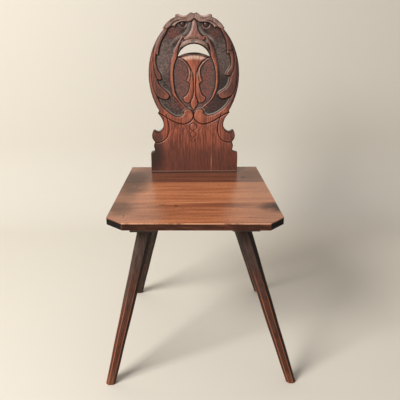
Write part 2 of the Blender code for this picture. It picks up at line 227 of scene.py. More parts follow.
def mesh_of(shape, name, smooth=True):
    """The mesh of a shape, which is done with after that."""
    for face in shape.faces:
        face.smooth = smooth
    mesh = bpy.data.meshes.new(name)
    shape.to_mesh(mesh)
    shape.free()
    return mesh


def floor_and_wall():
    shape = bmesh.new()
    profile = [(FLOOR_FRONT, 0.0)]
    for step in range(SWEEP_STEPS + 1):
        angle = math.pi / 2 * step / SWEEP_STEPS
        away = SWEEP_RADIUS * (1 - math.sin(angle))
        profile.append((WALL_PLACE - away, SWEEP_RADIUS * (1 - math.cos(angle))))
    profile.append((WALL_PLACE, WALL_HEIGHT))
    verts = [shape.verts.new((-STAGE_HALF_WIDTH, y, z)) for y, z in profile]
    line = [shape.edges.new(pair) for pair in zip(verts, verts[1:])]
    grown = bmesh.ops.extrude_edge_only(shape, edges=line)
    moved = [item for item in grown["geom"] if isinstance(item, bmesh.types.BMVert)]
    bmesh.ops.translate(shape, verts=moved, vec=(2 * STAGE_HALF_WIDTH, 0, 0))
    bmesh.ops.recalc_face_normals(shape, faces=shape.faces)
    if sum(face.normal.z for face in shape.faces) < 0:
        bmesh.ops.reverse_faces(shape, faces=shape.faces)
    return mesh_of(shape, "floor_and_wall")


backdrop = in_scene("floor_and_wall", floor_and_wall())
plaster = Finish("pale_plaster")
plaster.put("Base Color", PLASTER)
plaster.put("Roughness", PLASTER_ROUGHNESS)
seen_from_behind = plaster.node("ShaderNodeNewGeometry", {}, {}, "Backfacing")
plaster.cover(seen_from_behind, plaster.node("ShaderNodeBsdfTransparent", {}, {}))
backdrop.data.materials.append(plaster.material)
print("stage faces:", len(backdrop.data.polygons))

# %% [markdown]
# ## The light
# One wide soft lamp stands high in front on the left, and a pale sky fills the shadows. Their strengths are
# set so that a colour renders about as it is written.

# %% Set the lamp and the sky
KEY_PLACE = Vector((-1.9, -1.6, 2.3))
KEY_TARGET = Vector((0.0, 0.0, 0.45))
KEY_SIZE = 1.35
KEY_POWER = 106.0
KEY_COLOUR = (1.0, 0.96, 0.90)
SKY_STRENGTH = 0.30
SKY_COLOUR = (0.98, 0.96, 0.93, 1.0)

key = in_scene("key_lamp", bpy.data.lights.new("key_lamp", "AREA"))
key.data.energy = KEY_POWER
key.data.size = KEY_SIZE
key.data.color = KEY_COLOUR
key.location = KEY_PLACE
key.rotation_euler = (KEY_TARGET - KEY_PLACE).to_track_quat("-Z", "Y").to_euler()

sky = bpy.data.worlds.new("pale_sky")
sky.use_nodes = True
glow = sky.node_tree.nodes["Background"]
glow.inputs["Color"].default_value = SKY_COLOUR
glow.inputs["Strength"].default_value = SKY_STRENGTH
bpy.context.scene.world = sky
print("lamp:", KEY_POWER, "W, sky:", SKY_STRENGTH)

# %% [markdown]
# ## Easing a solid
# No edge of an old chair is sharp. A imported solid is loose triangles, so its copy is merged and its flat
# faces are joined again, and then its long outer edges are bevelled. The narrow faces that the bevel makes
# carry the value "arris", which the finishes read to show bare wood where hands and feet have rubbed.

# %% Make eased copies of solids
SAME_PLACE = 1e-6
FLAT_ANGLE = math.radians(0.4)
SHARP_ANGLE = math.radians(20)


def merged_copy(name):
    """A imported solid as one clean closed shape."""
    shape = bmesh.new()
    shape.from_mesh(nodes[name].data)
    bmesh.ops.remove_doubles(shape, verts=shape.verts, dist=SAME_PLACE)
    bmesh.ops.dissolve_limit(shape, angle_limit=FLAT_ANGLE, verts=shape.verts, edges=shape.edges)
    return shape


def rounded(shape, edges, offset, segments):
    """Bevel the given edges, and give back the narrow faces that this makes."""
    made = bmesh.ops.bevel(
        shape, geom=edges, offset=offset, offset_type="OFFSET", affect="EDGES",
        segments=segments, profile=0.5, material=-1, clamp_overlap=True,
    )
    return made["faces"]


def ease(shape, edges, offset, segments):
    """Round the given edges, and mark the narrow faces that this makes."""
    arris = shape.faces.layers.float.get("arris") or shape.faces.layers.float.new("arris")
    for face in rounded(shape, edges, offset, segments):
        face[arris] = 1.0


def outer_edges(shape, wanted):
    """The edges that stick out and that the given test wants."""
    found = []
    for edge in shape.edges:
        sticks_out = edge.is_manifold and edge.calc_face_angle_signed(0) > SHARP_ANGLE
        if sticks_out and wanted(edge):
            found.append(edge)
    return found


def middle_of(edge):
    return (edge.verts[0].co + edge.verts[1].co) / 2


def end_heights(edge):
    """How high an edge's lower and upper end are."""
    return sorted(vert.co.z for vert in edge.verts)


print("an edge counts as sharp from", round(math.degrees(SHARP_ANGLE)), "degrees on")

# %% Let a shape stand for a solid
CREASE_ANGLE = math.radians(40)


def dressed(name, shape, finish):
    """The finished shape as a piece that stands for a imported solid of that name."""
    mesh = mesh_of(shape, f"{name}_finished")
    mesh.set_sharp_from_angle(angle=CREASE_ANGLE)
    mesh.materials.append(finish)
    piece = in_scene(f"{name}_finished", mesh)
    even = piece.modifiers.new("even_shading", "WEIGHTED_NORMAL")
    even.keep_sharp = True
    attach(piece, "root")
    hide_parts(name)
    return piece


print("helpers ready for", ", ".join(sorted(nodes)))

# %% [markdown]
# ## The seat's finish
# The seat is the brightest part: reddish brown wood under an old polish that mirrors the back softly.
# Toward both ends its top is paler and greyer, a painted reflection of the pale wall. The grain runs from
# side to side. The three boards differ, so each gets its own pair of colours, and all share the grey
# handling marks near the corners, a few small dents, the line of dirt and painted shade at the back plank's
# foot and the dark front edge, darker to the left with painted shade, whose upper corner is worn pale. The
# front edge is a little out of square, so its line is measured from the board itself.

# %% List the marks and colours of the seat
SEAT_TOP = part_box("seat_board_front")[1].z
SEAT_MIDDLE = -0.0135
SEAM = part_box("seat_board_middle")[0].y
# Width of the dark band of dirt and painted shade in front of the back plank's foot.
FOOT_SHADE_AND_DIRT = 0.004
FOOT_REACH = 0.0153
SMUDGES = [
    ((-0.182, 0.100), (0.062, 0.062), 0.80),
    ((-0.184, 0.030), (0.066, 0.070), 0.80),
    ((-0.200, -0.045), (0.050, 0.062), 0.45),
    ((-0.140, 0.152), (0.060, 0.040), 0.30),
    ((-0.207, -0.116), (0.060, 0.054), 0.70),
    ((0.196, -0.110), (0.066, 0.040), 1.00),
    ((0.153, 0.116), (0.070, 0.070), 0.50),
]
DENTS = [
    ((0.125, 0.097), (0.0080, 0.0075), 0.95),
    ((-0.184, -0.160), (0.0022, 0.0120), 0.8),
    ((0.122, -0.172), (0.0300, 0.0012), 0.6),
    ((-0.094, -0.094), (0.0100, 0.0070), 0.6),
    ((-0.060, -0.100), (0.0080, 0.0080), 0.6),
    ((-0.149, -0.082), (0.0400, 0.0022), 0.6),
]
RED_BAND = ((0.065, -0.097), (0.110, 0.016), 0.70)
PALE_SEAM = ((-0.020, SEAM + 0.0010), (0.085, 0.0026), 0.55)
SEAT_SMUDGE = tone(70, 50, 41)
# A paler, greyer colour toward both ends of the seat: a painted reflection of the pale wall.
SEAT_WALL_REFLECTION = tone(160, 113, 88)
SEAT_DENT = tone(44, 28, 24)
SEAT_BAND = tone(112, 62, 46)
SEAT_EDGE = tone(64, 38, 29)
SEAT_EDGE_RED = tone(94, 55, 41)
SEAT_CUT = tone(24, 17, 15)
SEAT_BARE = tone(226, 164, 124)
BOARD_TONES = {
    "seat_board_front": (tone(139, 83, 57), tone(194, 123, 83), 3.0),
    "seat_board_middle": (tone(164, 98, 66), tone(203, 133, 92), 11.0),
    "seat_board_rear": (tone(104, 63, 48), tone(140, 86, 64), 23.0),
}
print("marks on the seat:", len(SMUDGES), "smudges,", len(DENTS), "dents")

# %% Measure the front edge and the foot of the back
SAME_HEIGHT = 0.001


def front_line():
    """The seat's front edge seen from above: its y at the middle of the frame, and its slope."""
    mesh = nodes["seat_board_front"].data
    corners = []
    for side in (-1, 1):
        half = [vert.co for vert in mesh.vertices if side * vert.co.x > 0]
        corners.append(min(half, key=lambda place: place.y))
    slope = (corners[1].y - corners[0].y) / (corners[1].x - corners[0].x)
    return corners[0].y - slope * corners[0].x, slope


def plank_foot():
    """Where the front of the back plank meets the seat."""
    places = [vert.co for vert in nodes["back_plank"].data.vertices]
    return min(place.y for place in places if abs(place.z - SEAT_TOP) < SAME_HEIGHT)


print("front edge slope:", round(front_line()[1], 4), "foot of the back:", round(plank_foot(), 4))

# %% Write the marks of use and the painted shade on the seat
def clean_share(finish, x, y, cloud):
    """1 where the seat is clean, and less under the smudges."""
    blotches = finish.between(cloud, 0.08, 0.50)
    clean = 1.0
    for smudge in SMUDGES:
        clean = (1 - finish.spot(x, y, *smudge) * blotches) * clean
    return clean


def dented(finish, colour, x, y, cloud, speckle):
    """A colour with the dents in it, which have ragged edges and grit in them."""
    ragged_x = x + cloud * 0.010 - 0.005
    ragged_y = y + cloud * 0.006 - 0.003
    gritty = finish.between(speckle, 0.30, 0.55)
    for dent in DENTS:
        colour = finish.blend(colour, SEAT_DENT, finish.spot(ragged_x, ragged_y, *dent) * gritty)
    return colour


def shade_and_dirt_at_back(finish, y, out):
    """1 along the foot of the back plank: dirt, with painted shade where the plank meets the seat."""
    foot = plank_foot()
    near_foot = finish.between(y, foot - FOOT_SHADE_AND_DIRT, foot - 0.5 * FOOT_SHADE_AND_DIRT)
    return near_foot * finish.between(out, 1.02 * FOOT_REACH, 0.98 * FOOT_REACH)


def edge_colour(finish, x, behind, edge_cloud):
    """The boards' upright edges: dark, red in clouds at the front, black behind, painted shade to the left.
    """
    return finish.coats(
        finish.blend(SEAT_EDGE, SEAT_EDGE_RED, finish.between(edge_cloud, 0.44, 0.66)),
        # Painted shade: the front edge darker toward the left.
        (SEAT_CUT, finish.between(x, -0.02, -0.16) * 0.35),
        (SEAT_CUT, finish.between(behind, 0.0015, 0.004)),
    )


print("marks of use ready for", len(BOARD_TONES), "boards")

# %% Polish the seat boards
def seat_finish(name, dark, light, shift):
    finish = Finish(f"{name}_polish")
    x, y, z = finish.place()
    start, slope = front_line()
    behind = y - x * slope - start
    out = (x - SEAT_MIDDLE) * (x - SEAT_MIDDLE)
    growth = finish.noise(x * 3.5 + shift, y * 62, z * 62, detail=3.0, roughness=0.68)
    streak = finish.noise(x * 9 + shift, y * 330, z * 330)
    dashes = finish.noise(x * 105, y * 250, shift, roughness=0.6)
    fibre = finish.noise(x * 60 + shift, y * 1500, z * 1500, detail=1.0)
    cloud = finish.noise(x * 26, y * 26, shift, detail=4.0, roughness=0.6)
    speckle = finish.noise(x * 240, y * 420, shift, roughness=0.6)
    edge_cloud = finish.noise(x * 25, y * 25, z * 160, detail=3.0, roughness=0.6)
    along = finish.noise(x * 45, y * 12, 4.0, detail=3.0, roughness=0.6)

    clean = clean_share(finish, x, y, cloud)
    top = finish.coats(
        finish.blend(dark, light, finish.between(growth * 0.65 + streak * 0.35, 0.38, 0.62)),
        (dark, finish.between(fibre, 0.56, 0.72) * 0.45),
        # Painted reflection of the pale wall: paler and greyer toward both ends.
        (SEAT_WALL_REFLECTION, finish.between(out + cloud * 0.006, 0.008, 0.034) * 0.45),
        (dark, finish.between(speckle, 0.50, 0.66) * 0.7),
        (SEAT_DENT, finish.between(dashes, 0.57, 0.72) * 0.42),
        (SEAT_SMUDGE, 1 - clean),
    )
    if name == "seat_board_front":
        top = finish.blend(top, SEAT_BAND, finish.spot(x, y, *RED_BAND))
    worn_front = finish.between(behind + cloud * 0.005, 0.0054, 0.0034) * finish.between(along, 0.34, 0.56)
    top = finish.coats(
        dented(finish, top, x, y, cloud, speckle),
        # Dirt and painted shade at the foot of the back plank.
        (SEAT_CUT, shade_and_dirt_at_back(finish, y, out) * 0.75),
        (SEAT_BARE, finish.spot(x, y, *PALE_SEAM)),
        (SEAT_BARE, worn_front * 0.9),
    )

    face_up = finish.between(z, SEAT_TOP - 0.0024, SEAT_TOP - 0.0014)
    arris = finish.spread("arris")
    rubbed = arris * finish.between(edge_cloud, 0.36, 0.56)
    at_front = finish.between(behind, 0.0040, 0.0015)
    at_corner = finish.between(out, 0.0286, 0.0296) * finish.between(behind, 0.060, 0.045)
    colour = finish.coats(
        finish.blend(edge_colour(finish, x, behind, edge_cloud), top, face_up),
        (SEAT_EDGE_RED, rubbed * (1 - face_up) * 0.8),
        (SEAT_BARE, rubbed * at_front * (0.20 + face_up * 0.55)),
        (SEAT_CUT, arris * at_corner * (1 - at_front) * 0.85),
    )
    finish.put("Base Color", colour)
    finish.put("Roughness", 0.16 + cloud * 0.10 + fibre * 0.05)
    finish.put("Specular IOR Level", 0.60)
    finish.bump(growth * 0.3 + streak * 0.5 + fibre * 0.2, distance=0.0004, strength=0.30)
    finish.dull(1 - face_up * (0.40 + clean * 0.60), specular=0.12, roughness=0.6)
    return finish.material


seat_materials = {name: seat_finish(name, *tones) for name, tones in BOARD_TONES.items()}
print("seat finishes:", len(seat_materials))

# %% [markdown]
# ## The seat boards
# The outer top edges are rounded by wear, most of all at the front. Where two boards meet, only a hair of
# the edge is broken, which draws the thin joint lines across the seat.

# %% Ease the seat boards
OUTER_EASE = 0.0014
LOW_EASE = 0.0004
JOINT_EASE = 0.0005
NEAR = 0.0004
UPRIGHT = 0.010
END_REACH = 0.06
FRONT_REACH = 0.02


def seat_piece(name):
    low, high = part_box(name)
    seat_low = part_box("seat_board_front")[0].y
    seat_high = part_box("seat_board_rear")[1].y

    def at_joint(edge):
        y = middle_of(edge).y
        inner_front = abs(y - low.y) < NEAR and low.y > seat_low + NEAR
        inner_rear = abs(y - high.y) < NEAR and high.y < seat_high - NEAR
        return inner_front or inner_rear

    def on_top(edge):
        return end_heights(edge)[0] > SEAT_TOP - NEAR

    def upright(edge):
        bottom, top = end_heights(edge)
        return top - bottom > UPRIGHT

    def round_outside(edge):
        at_end = not low.x + END_REACH < middle_of(edge).x < high.x - END_REACH
        return (on_top(edge) or upright(edge) and at_end) and not at_joint(edge)

    def low_front(edge):
        at_bottom = end_heights(edge)[1] < low.z + NEAR
        return at_bottom and max(vert.co.y for vert in edge.verts) < seat_low + FRONT_REACH

    shape = merged_copy(name)
    ease(shape, outer_edges(shape, lambda edge: on_top(edge) and at_joint(edge)), JOINT_EASE, 1)
    arris = shape.faces.layers.float["arris"]
    for face in shape.faces:
        face[arris] = 0.0
    ease(shape, outer_edges(shape, round_outside), OUTER_EASE, 3)
    ease(shape, outer_edges(shape, low_front), LOW_EASE, 2)
    return dressed(name, shape, seat_materials[name])


seat_pieces = [seat_piece(name) for name in BOARD_TONES]
print("seat boards:", [len(piece.data.polygons) for piece in seat_pieces])

# %% [markdown]
# ## The legs
# Each leg was shaved to eight faces by hand. Its arrises are bevelled, it is cut across at short steps, and
# the cuts are shifted by fractions of a millimetre so that no arris runs dead straight. The stain is almost
# black under the seat and rubbed to red toward the foot, with the arrises bare. The faces turned to the
# right are darkened with painted shade, and so are the front right leg's faces turned to the left. The rear
# legs are painted darker all over.

# %% Stain the legs and paint their shade
LEG_DARK = tone(82, 64, 57)
LEG_RED = tone(91, 49, 36)
LEG_BARE = tone(184, 108, 72)
LEG_FOOT = tone(140, 86, 59)
LEG_BLACK = tone(26, 18, 16)
LEG_BEHIND = 0.16


def leg_slope(name):
    """How far a leg leans across and along for each metre of height."""
    places = [vert.co for vert in nodes[name].data.vertices]
    top_height = max(place.z for place in places)
    foot = [place for place in places if place.z < SAME_HEIGHT]
    top = [place for place in places if place.z > top_height - SAME_HEIGHT]
    lean = sum(top, Vector()) / len(top) - sum(foot, Vector()) / len(foot)
    return lean / lean.z


def leg_finish(name, shift):
    finish = Finish(f"{name}_stain")
    slope = leg_slope(name)
    x, y, z = finish.place()
    across = x - z * slope.x
    along = y - z * slope.y
    streak = finish.noise(across * 300 + shift, along * 300, z * 9, detail=3.0, roughness=0.65)
    fibre = finish.noise(across * 1100 + shift, along * 1100, z * 40, detail=1.0)
    cloud = finish.noise(across * 18 + shift, along * 18, z * 14, detail=3.0)
    low_down = finish.between(z, 0.42, 0.20)
    behind = LEG_BEHIND if "rear" in name else 0.0
    left_shade = 0.60 if name == "leg_front_right" else 0.0
    rubbed = finish.between(streak * 0.55 + cloud * 0.45 + low_down * 0.22, 0.52 + behind, 0.78 + behind)
    at_foot = finish.between(z + cloud * 0.03, 0.075, 0.018)
    normal = finish.node("ShaderNodeTexCoord", {}, {}, "Normal")
    sideways = finish.node("ShaderNodeSeparateXYZ", {}, {0: normal}, "X")
    wear = cloud * 0.4 + streak * 0.4 + low_down * 0.22
    bare = finish.spread("arris") * finish.between(wear, 0.46 + behind, 0.66 + behind)
    colour = finish.coats(
        LEG_DARK,
        (LEG_RED, rubbed),
        (LEG_FOOT, at_foot * (0.60 - 3 * behind)),
        # Painted shade: the faces turned to the right are darkened.
        (LEG_BLACK, finish.between(sideways, 0.25, 0.70) * 0.82),
        # Painted shade: on the front right leg, the faces turned to the left too.
        (LEG_BLACK, finish.between(sideways, -0.40, -0.75) * left_shade),
        # The rear legs are painted darker all over.
        (LEG_BLACK, 3 * behind),
        (LEG_BLACK, finish.between(fibre, 0.48, 0.64) * 0.75),
        (LEG_BARE, bare * 0.75),
    )
    finish.put("Base Color", colour)
    finish.put("Roughness", 0.40 + cloud * 0.20)
    finish.put("Specular IOR Level", 0.20)
    finish.bump(streak * 0.6 + fibre * 0.4, distance=0.0005, strength=0.5)
    return finish.material


print("leg slope:", tuple(round(part, 3) for part in leg_slope("leg_front_left")))

# %% Shave the legs
LEG_EASE = 0.0010
FOOT_EASE = 0.0022
LEG_CUT = 0.020
LEG_WAVER = 0.0005
LEG_FADE = 0.03
LONG_EDGE = 0.2
TENON_REACH = 0.02


def leg_piece(name, shift):
    shape = merged_copy(name)
    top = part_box(name)[1].z
    ease(shape, outer_edges(shape, lambda edge: edge.calc_length() > LONG_EDGE), LEG_EASE, 2)
    ease(shape, outer_edges(shape, lambda edge: end_heights(edge)[1] < SAME_HEIGHT), FOOT_EASE, 2)
    shoulder = max(vert.co.z for vert in shape.verts if vert.co.z < top - TENON_REACH)
    cuts = int((shoulder - 0.5 * LEG_CUT) / LEG_CUT)
    for cut in range(1, cuts):
        everything = list(shape.verts) + list(shape.edges) + list(shape.faces)
        bmesh.ops.bisect_plane(shape, geom=everything, plane_co=(0, 0, cut * LEG_CUT), plane_no=(0, 0, 1))
    for vert in shape.verts:
        below = max(0.0, (shoulder - vert.co.z) / LEG_FADE)
        waver = min(1.0, vert.co.z / LEG_FADE) * min(1.0, below) * LEG_WAVER
        vert.co.x += waver * math.sin(vert.co.z * 31 + shift) * math.sin(vert.co.y * 90 + shift)
        vert.co.y += waver * math.sin(vert.co.z * 27 + 2 * shift) * math.sin(vert.co.x * 80)
    return dressed(name, shape, leg_finish(name, shift))


leg_names = sorted(name for name in nodes if name.startswith("leg_") and "wedge" not in name)
leg_pieces = [leg_piece(name, 5.0 * place + 1.0) for place, name in enumerate(leg_names)]
print("legs:", {piece.name: len(piece.data.polygons) for piece in leg_pieces})

# %% [markdown]
# ## Battens, keys and wedges
# These sit under the seat, out of the polish and in the dust. The battens are stained dark like the legs.
# The keys and wedges are plain split wood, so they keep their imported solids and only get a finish.

# %% Finish what is under the seat
BATTEN_EASE = 0.0012
BATTEN_LOW = 0.012
BATTEN_LONG = 0.015
SPLIT_TONES = (tone(112, 74, 48), tone(156, 110, 74))
BATTEN_TONES = (tone(44, 30, 25), tone(84, 52, 40))


def plain_finish(name, tones, grain, roughness):
    """Dull wood with its grain along one axis: 0 for X, 1 for Y, 2 for Z."""
    dark, light = tones
    finish = Finish(name)
    place = finish.place()
    scale = [220, 220, 220]
    scale[grain] = 9
    fine = [900, 900, 900]
    fine[grain] = 40
    streak = finish.noise(*[p * s for p, s in zip(place, scale)], detail=3.0, roughness=0.6)
    fibre = finish.noise(*[p * s for p, s in zip(place, fine)], detail=1.0)
    colour = finish.blend(dark, light, finish.between(streak, 0.36, 0.66))
    finish.put("Base Color", finish.blend(colour, dark, finish.between(fibre, 0.55, 0.70) * 0.5))
    finish.put("Roughness", roughness + streak * 0.15)
    finish.bump(streak * 0.6 + fibre * 0.4, distance=0.0005, strength=0.6)
    return finish.material


def batten_piece(name):
    shape = merged_copy(name)
    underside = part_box(name)[0].z

    def long_and_low(edge):
        return middle_of(edge).z < underside + BATTEN_LOW and edge.calc_length() > BATTEN_LONG

    ease(shape, outer_edges(shape, long_and_low), BATTEN_EASE, 2)
    return dressed(name, shape, batten_stain)


batten_stain = plain_finish("batten_stain", BATTEN_TONES, 1, 0.45)
split_wood = plain_finish("split_wood", SPLIT_TONES, 0, 0.6)
wedge_wood = plain_finish("wedge_split_wood", SPLIT_TONES, 2, 0.6)
battens = [batten_piece(f"batten_{side}") for side in ("left", "right")]
driven = [name for name in nodes if "key" in name or "wedge" in name]
for name in driven:
    nodes[name].material_slots[0].material = split_wood if "key" in name else wedge_wood
print("finished under the seat:", len(battens), "battens,", len(driven), "keys and wedges")

# %% [markdown]
# ## Drawing the carving
# The back is a leafy mask in low relief. A carver would draw half of it on paper, fold the paper and rub
# the other half, and this lesson does the same: every line below is the right half only, in millimetres,
# with u to the right of the plank's middle and v up from the seat. Each line has the few points that its
# shape needs, and a smooth curve runs through them.

# %% Draw the brow and the wreath
BROW_EDGE = [
    (80, 394), (70.5, 398.5), (64, 404), (57.5, 410.5), (50.5, 415.5), (42, 418.8), (30, 420.8),
    (12, 423.5),
]
SECOND_FOLD = [
    (0, 424), (7.5, 418), (14, 415), (25.5, 415), (36, 414.8), (44, 411.5), (49.5, 407), (53, 401),
]
UNDER_BROW = [(53, 401), (57, 404), (64, 401.5), (72, 395.5)]
FIRST_LEAF = [(72, 395.5), (80, 380), (87, 367), (91.5, 352), (93, 338), (93.5, 329)]
SECOND_LEAF = [(100, 332), (101.5, 316), (100.5, 302), (97, 290), (91, 279), (87.5, 269)]
SECOND_TIP = [(87.5, 269), (93, 265.5), (101.5, 268)]
THIRD_LEAF = [(101.5, 268), (97, 253), (90, 242), (80, 232.5), (69, 225)]
THIRD_TIP = [(69, 225), (66, 220.5), (67.5, 215), (75, 210), (85, 210.5), (94, 214), (102, 218.5)]
LOWER_RIM = [
    (102, 214), (94.5, 198), (84, 185), (70.5, 173), (56.5, 163.5), (43, 160), (34, 162), (27.5, 168.5),
]
VOLUTE = [(27.5, 168.5), (26.3, 176), (21, 180.8), (13, 181), (6, 176.5), (2.5, 168), (0, 158)]
RIM_FOOT = [
    (0.5, 160), (3, 154), (7, 149), (13.5, 144), (28, 139.5), (44, 143), (60, 150), (75, 158.5), (88, 167),
    (99, 173),
]
RIM_LINE = [(102, 217.5), (108.5, 228), (113.5, 243), (116.5, 258), (117.5, 275), (117, 292), (115, 310)]
LEAF_LINE = [(102, 270), (106.5, 283), (109, 300), (109.5, 318), (108, 335), (104, 352)]
print("wreath from v =", min(v for u, v in RIM_FOOT), "to", max(v for u, v in SECOND_FOLD), "mm")

# %% Draw the mouth, the tongue and its leaves
MOUTH_TOP = [(0, 372), (16, 373), (31, 374)]
MOUTH_SIDE = [
    (31, 374), (35.5, 366), (39.5, 357.5), (43, 348), (45.3, 337), (47, 325), (52.8, 310.5), (56.3, 298.5),
    (58.5, 286),
]
MOUTH_FOOT = [
    (58.5, 286), (59, 271), (58.2, 252), (55.7, 235), (50.2, 220), (42.7, 208), (33.2, 197), (23, 186.8),
    (13, 181),
]
LIP = [
    (43.5, 324), (43, 334), (41, 342), (37.6, 350.8), (31.4, 360.2), (22.5, 366.2), (13.6, 369.2),
    (5.5, 370.4), (0, 370.8),
]
HOLE_MIDDLE = 312.2
HOLE_RADIUS = 44.8
TONGUE = [
    (44, 323), (34, 319.5), (26, 315.5), (18.7, 308), (12.5, 298.5), (7.5, 288.5), (4.8, 279), (3.4, 270),
    (2.4, 260), (1.8, 249), (1.6, 241),
]
SILL_HEIGHT = 326.8
SILL_CURVE = 0.0067
BUD = [(1.6, 241), (1.8, 230), (4.8, 214), (8.8, 205.5), (10, 197), (7, 188.5), (0, 178)]
LEAF_LIP = [
    (43, 320.5), (35, 315.5), (27.5, 309), (21, 301.5), (16.8, 294), (15.2, 285), (15.6, 276), (17, 268.5),
    (21, 259.5),
]
LEAF_HOOK = [(21, 259.5), (15.5, 256.5), (12.5, 253.5)]
LEAF_VEIN = [
    (31, 316), (24, 310), (17.3, 302.5), (12.2, 294), (9.8, 285), (9.6, 276), (11, 267), (13, 259),
]
LEAF_SIDE = [(12.5, 253.5), (12.5, 246), (15.5, 232), (20.5, 221), (29.5, 213.5)]
LEAF_FOOT = [
    (29.5, 213.5), (28.5, 207), (23.5, 202), (16.5, 199.8), (11, 203), (4, 216), (1, 235), (1, 258),
    (3.5, 276), (10, 296), (22, 313),
]
print("mouth from v =", BUD[-1][1], "to", MOUTH_TOP[0][1], "mm")

# %% Draw the nose, the eyes and the neck
NOSE = [(0, 424), (2.5, 419), (5, 412), (6.5, 404), (9, 394), (14, 384.5), (20.5, 377.5), (26.5, 373)]
NOSE_FOOT = [(26.5, 373), (27.6, 370.3), (24.5, 368.3), (17, 369), (8.5, 371.5), (0, 372.5)]
CHEEK_FOLD = [
    (12, 411), (14.6, 401.7), (16.6, 393), (23.3, 384.5), (33, 378), (46, 371.3), (54, 363.5), (61, 355),
]
EYE = (31.0, 408.5)
NECK_LINE = [
    (77, 167), (72.5, 151), (69, 136), (69, 119.5), (73, 105.5), (82, 93.5), (95, 88), (106, 87.5),
]
PARTING = [(0, 179), (0, 158)]
CIRCLES = [(132, 10.0, 1.5), (110, 7.8, 1.4), (93, 4.5, 0.7)]
print("circles on the neck:", len(CIRCLES))

# %% [markdown]
# ## Tools for the relief
# A carver cuts by distance: so deep at the line, so much higher a finger's width away. The raster below is
# a fine sheet of points over the right half, and each tool changes the height of its points by their
# distance from a line, or from the edge of an outline, counted positive inside it.

# %% Draw smooth curves and soft steps
def curve(points, steps=5):
    """A smooth curve through the points, from the first to the last."""
    points = np.array(points, float)
    padded = np.vstack([2 * points[0] - points[1], points, 2 * points[-1] - points[-2]])
    share = np.linspace(0, 1, steps, endpoint=False)[:, None]
    parts = []
    for a, b, c, d in zip(padded, padded[1:], padded[2:], padded[3:]):
        cubic = (3 * b - a - 3 * c + d) * share**3
        parts.append(0.5 * (2 * b + (c - a) * share + (2 * a - 5 * b + 4 * c - d) * share**2 + cubic))
    return np.vstack([*parts, points[-1:]])


def joined(*lines):
    """Several smooth curves, one after the other, with a corner where they meet."""
    return np.vstack([curve(line) for line in lines])


def soft(value, low, high):
    """0 up to the low value, 1 from the high value on, and a soft step in between."""
    share = np.clip((value - low) / (high - low), 0, 1)
    return share * share * (3 - 2 * share)


def bell(gap, width):
    """1 where the gap is 0, falling off to both sides over the width."""
    return np.exp(-((gap / width) ** 2))


def oval(u, v, middle, reach):
    """1 in the middle of a soft oval on the plank, and 0 away from it."""
    return np.exp(-(((u - middle[0]) / reach[0]) ** 2) - ((v - middle[1]) / reach[1]) ** 2)


def most(*values):
    """The highest of several values at each point."""
    return np.maximum.reduce(values)


print("points on the curve of the mouth's side:", len(curve(MOUTH_SIDE)))

# %% Measure distances
def distance(line, at):
    """Distance of each point from a line of short straight stretches, and the place along the line."""
    best = np.full(len(at), 1e9)
    where = np.zeros(len(at))
    run = 0.0
    for start, end in zip(line, line[1:]):
        step = end - start
        length = float(np.hypot(*step))
        if length < 1e-9:
            continue
        share = np.clip(((at - start) @ step) / length**2, 0, 1)
        gap = np.hypot(*(at - start - share[:, None] * step).T)
        nearer = gap < best
        best[nearer] = gap[nearer]
        where[nearer] = run + share[nearer] * length
        run += length
    return best, where


def inside(outline, at):
    """Which points lie inside a closed outline."""
    odd = np.zeros(len(at), bool)
    for start, end in zip(outline, np.roll(outline, -1, axis=0)):
        if start[1] == end[1]:
            continue
        crosses = (start[1] > at[:, 1]) != (end[1] > at[:, 1])
        edge = start[0] + (at[:, 1] - start[1]) / (end[1] - start[1]) * (end[0] - start[0])
        odd ^= crosses & (at[:, 0] < edge)
    return odd


eye_to_nose, _ = distance(curve(NOSE), np.array([EYE]))
print("from the eye to the nose:", round(float(eye_to_nose[0]), 1), "mm")

# %% Set up the raster and its tools
RASTER_STEP = 0.8
RASTER_WIDE = 130
RASTER_LOW = -80
RASTER_HIGH = 446
OUT_OF_REACH = 30.0


class Relief:
    """The plank's right half as a raster of heights in millimetres, where 0 is the uncut face."""

    def __init__(self):
        self.columns = np.arange(0, RASTER_WIDE, RASTER_STEP)
        self.rows = np.arange(RASTER_LOW, RASTER_HIGH, RASTER_STEP)
        u, v = np.meshgrid(self.columns, self.rows)
        self.at = np.stack([u.ravel(), v.ravel()], axis=1)
        self.height = np.zeros(len(self.at))

    def near(self, line):
        """Distance from a line and place along it, worked out only where it matters."""
        low, high = line.min(axis=0) - OUT_OF_REACH, line.max(axis=0) + OUT_OF_REACH
        close = np.all((self.at > low) & (self.at < high), axis=1)
        away = np.full(len(self.at), OUT_OF_REACH)
        where = np.zeros(len(self.at))
        away[close], where[close] = distance(line, self.at[close])
        return away, where

    def within(self, outline):
        """Distance from an outline's edge, positive inside. The plank's middle line is no edge."""
        mirrored = np.vstack([outline, outline[::-1] * (-1, 1)])
        away, _ = self.near(mirrored)
        return np.where(inside(mirrored, self.at), away, -away)

    def groove(self, line, half_width, depth):
        away, _ = self.near(line)
        self.height -= depth * bell(away, half_width)

    def lift(self, region, top):
        """Lift a region to a height, wherever it lies lower."""
        self.height = np.where(region, np.maximum(self.height, top), self.height)

    def raise_to(self, within, top, crown, width, foot, wall):
        """Lift an outline to a height, rounded off toward its edge, with a sloping wall around it."""
        level = top - crown * (1 - soft(within, 0, width))
        skirt = top - crown - (top - crown - foot) * soft(-within, 0, wall)
        self.height = np.maximum(self.height, np.where(within > 0, level, skirt))

    def grid(self, values):
        return values.reshape(len(self.rows), len(self.columns))


relief = Relief()
print("raster points:", len(relief.at))

# %% [markdown]
# ## Cutting the relief
# First the whole field inside the wreath is sunk, deepest in the middle. Then the mouth's frame, the tongue
# with its leaves, the nose and the eyes are left standing in it, and last come the incised lines.

# %% Sink the field
WALL_DEPTH = 3.0
WALL_WIDTH = 1.4
BOWL_DEPTH = 4.2
BOWL_REACH = 4.5
OUTLINE_DEPTH = 1.3
LEAF_EDGE_FALL = 0.9

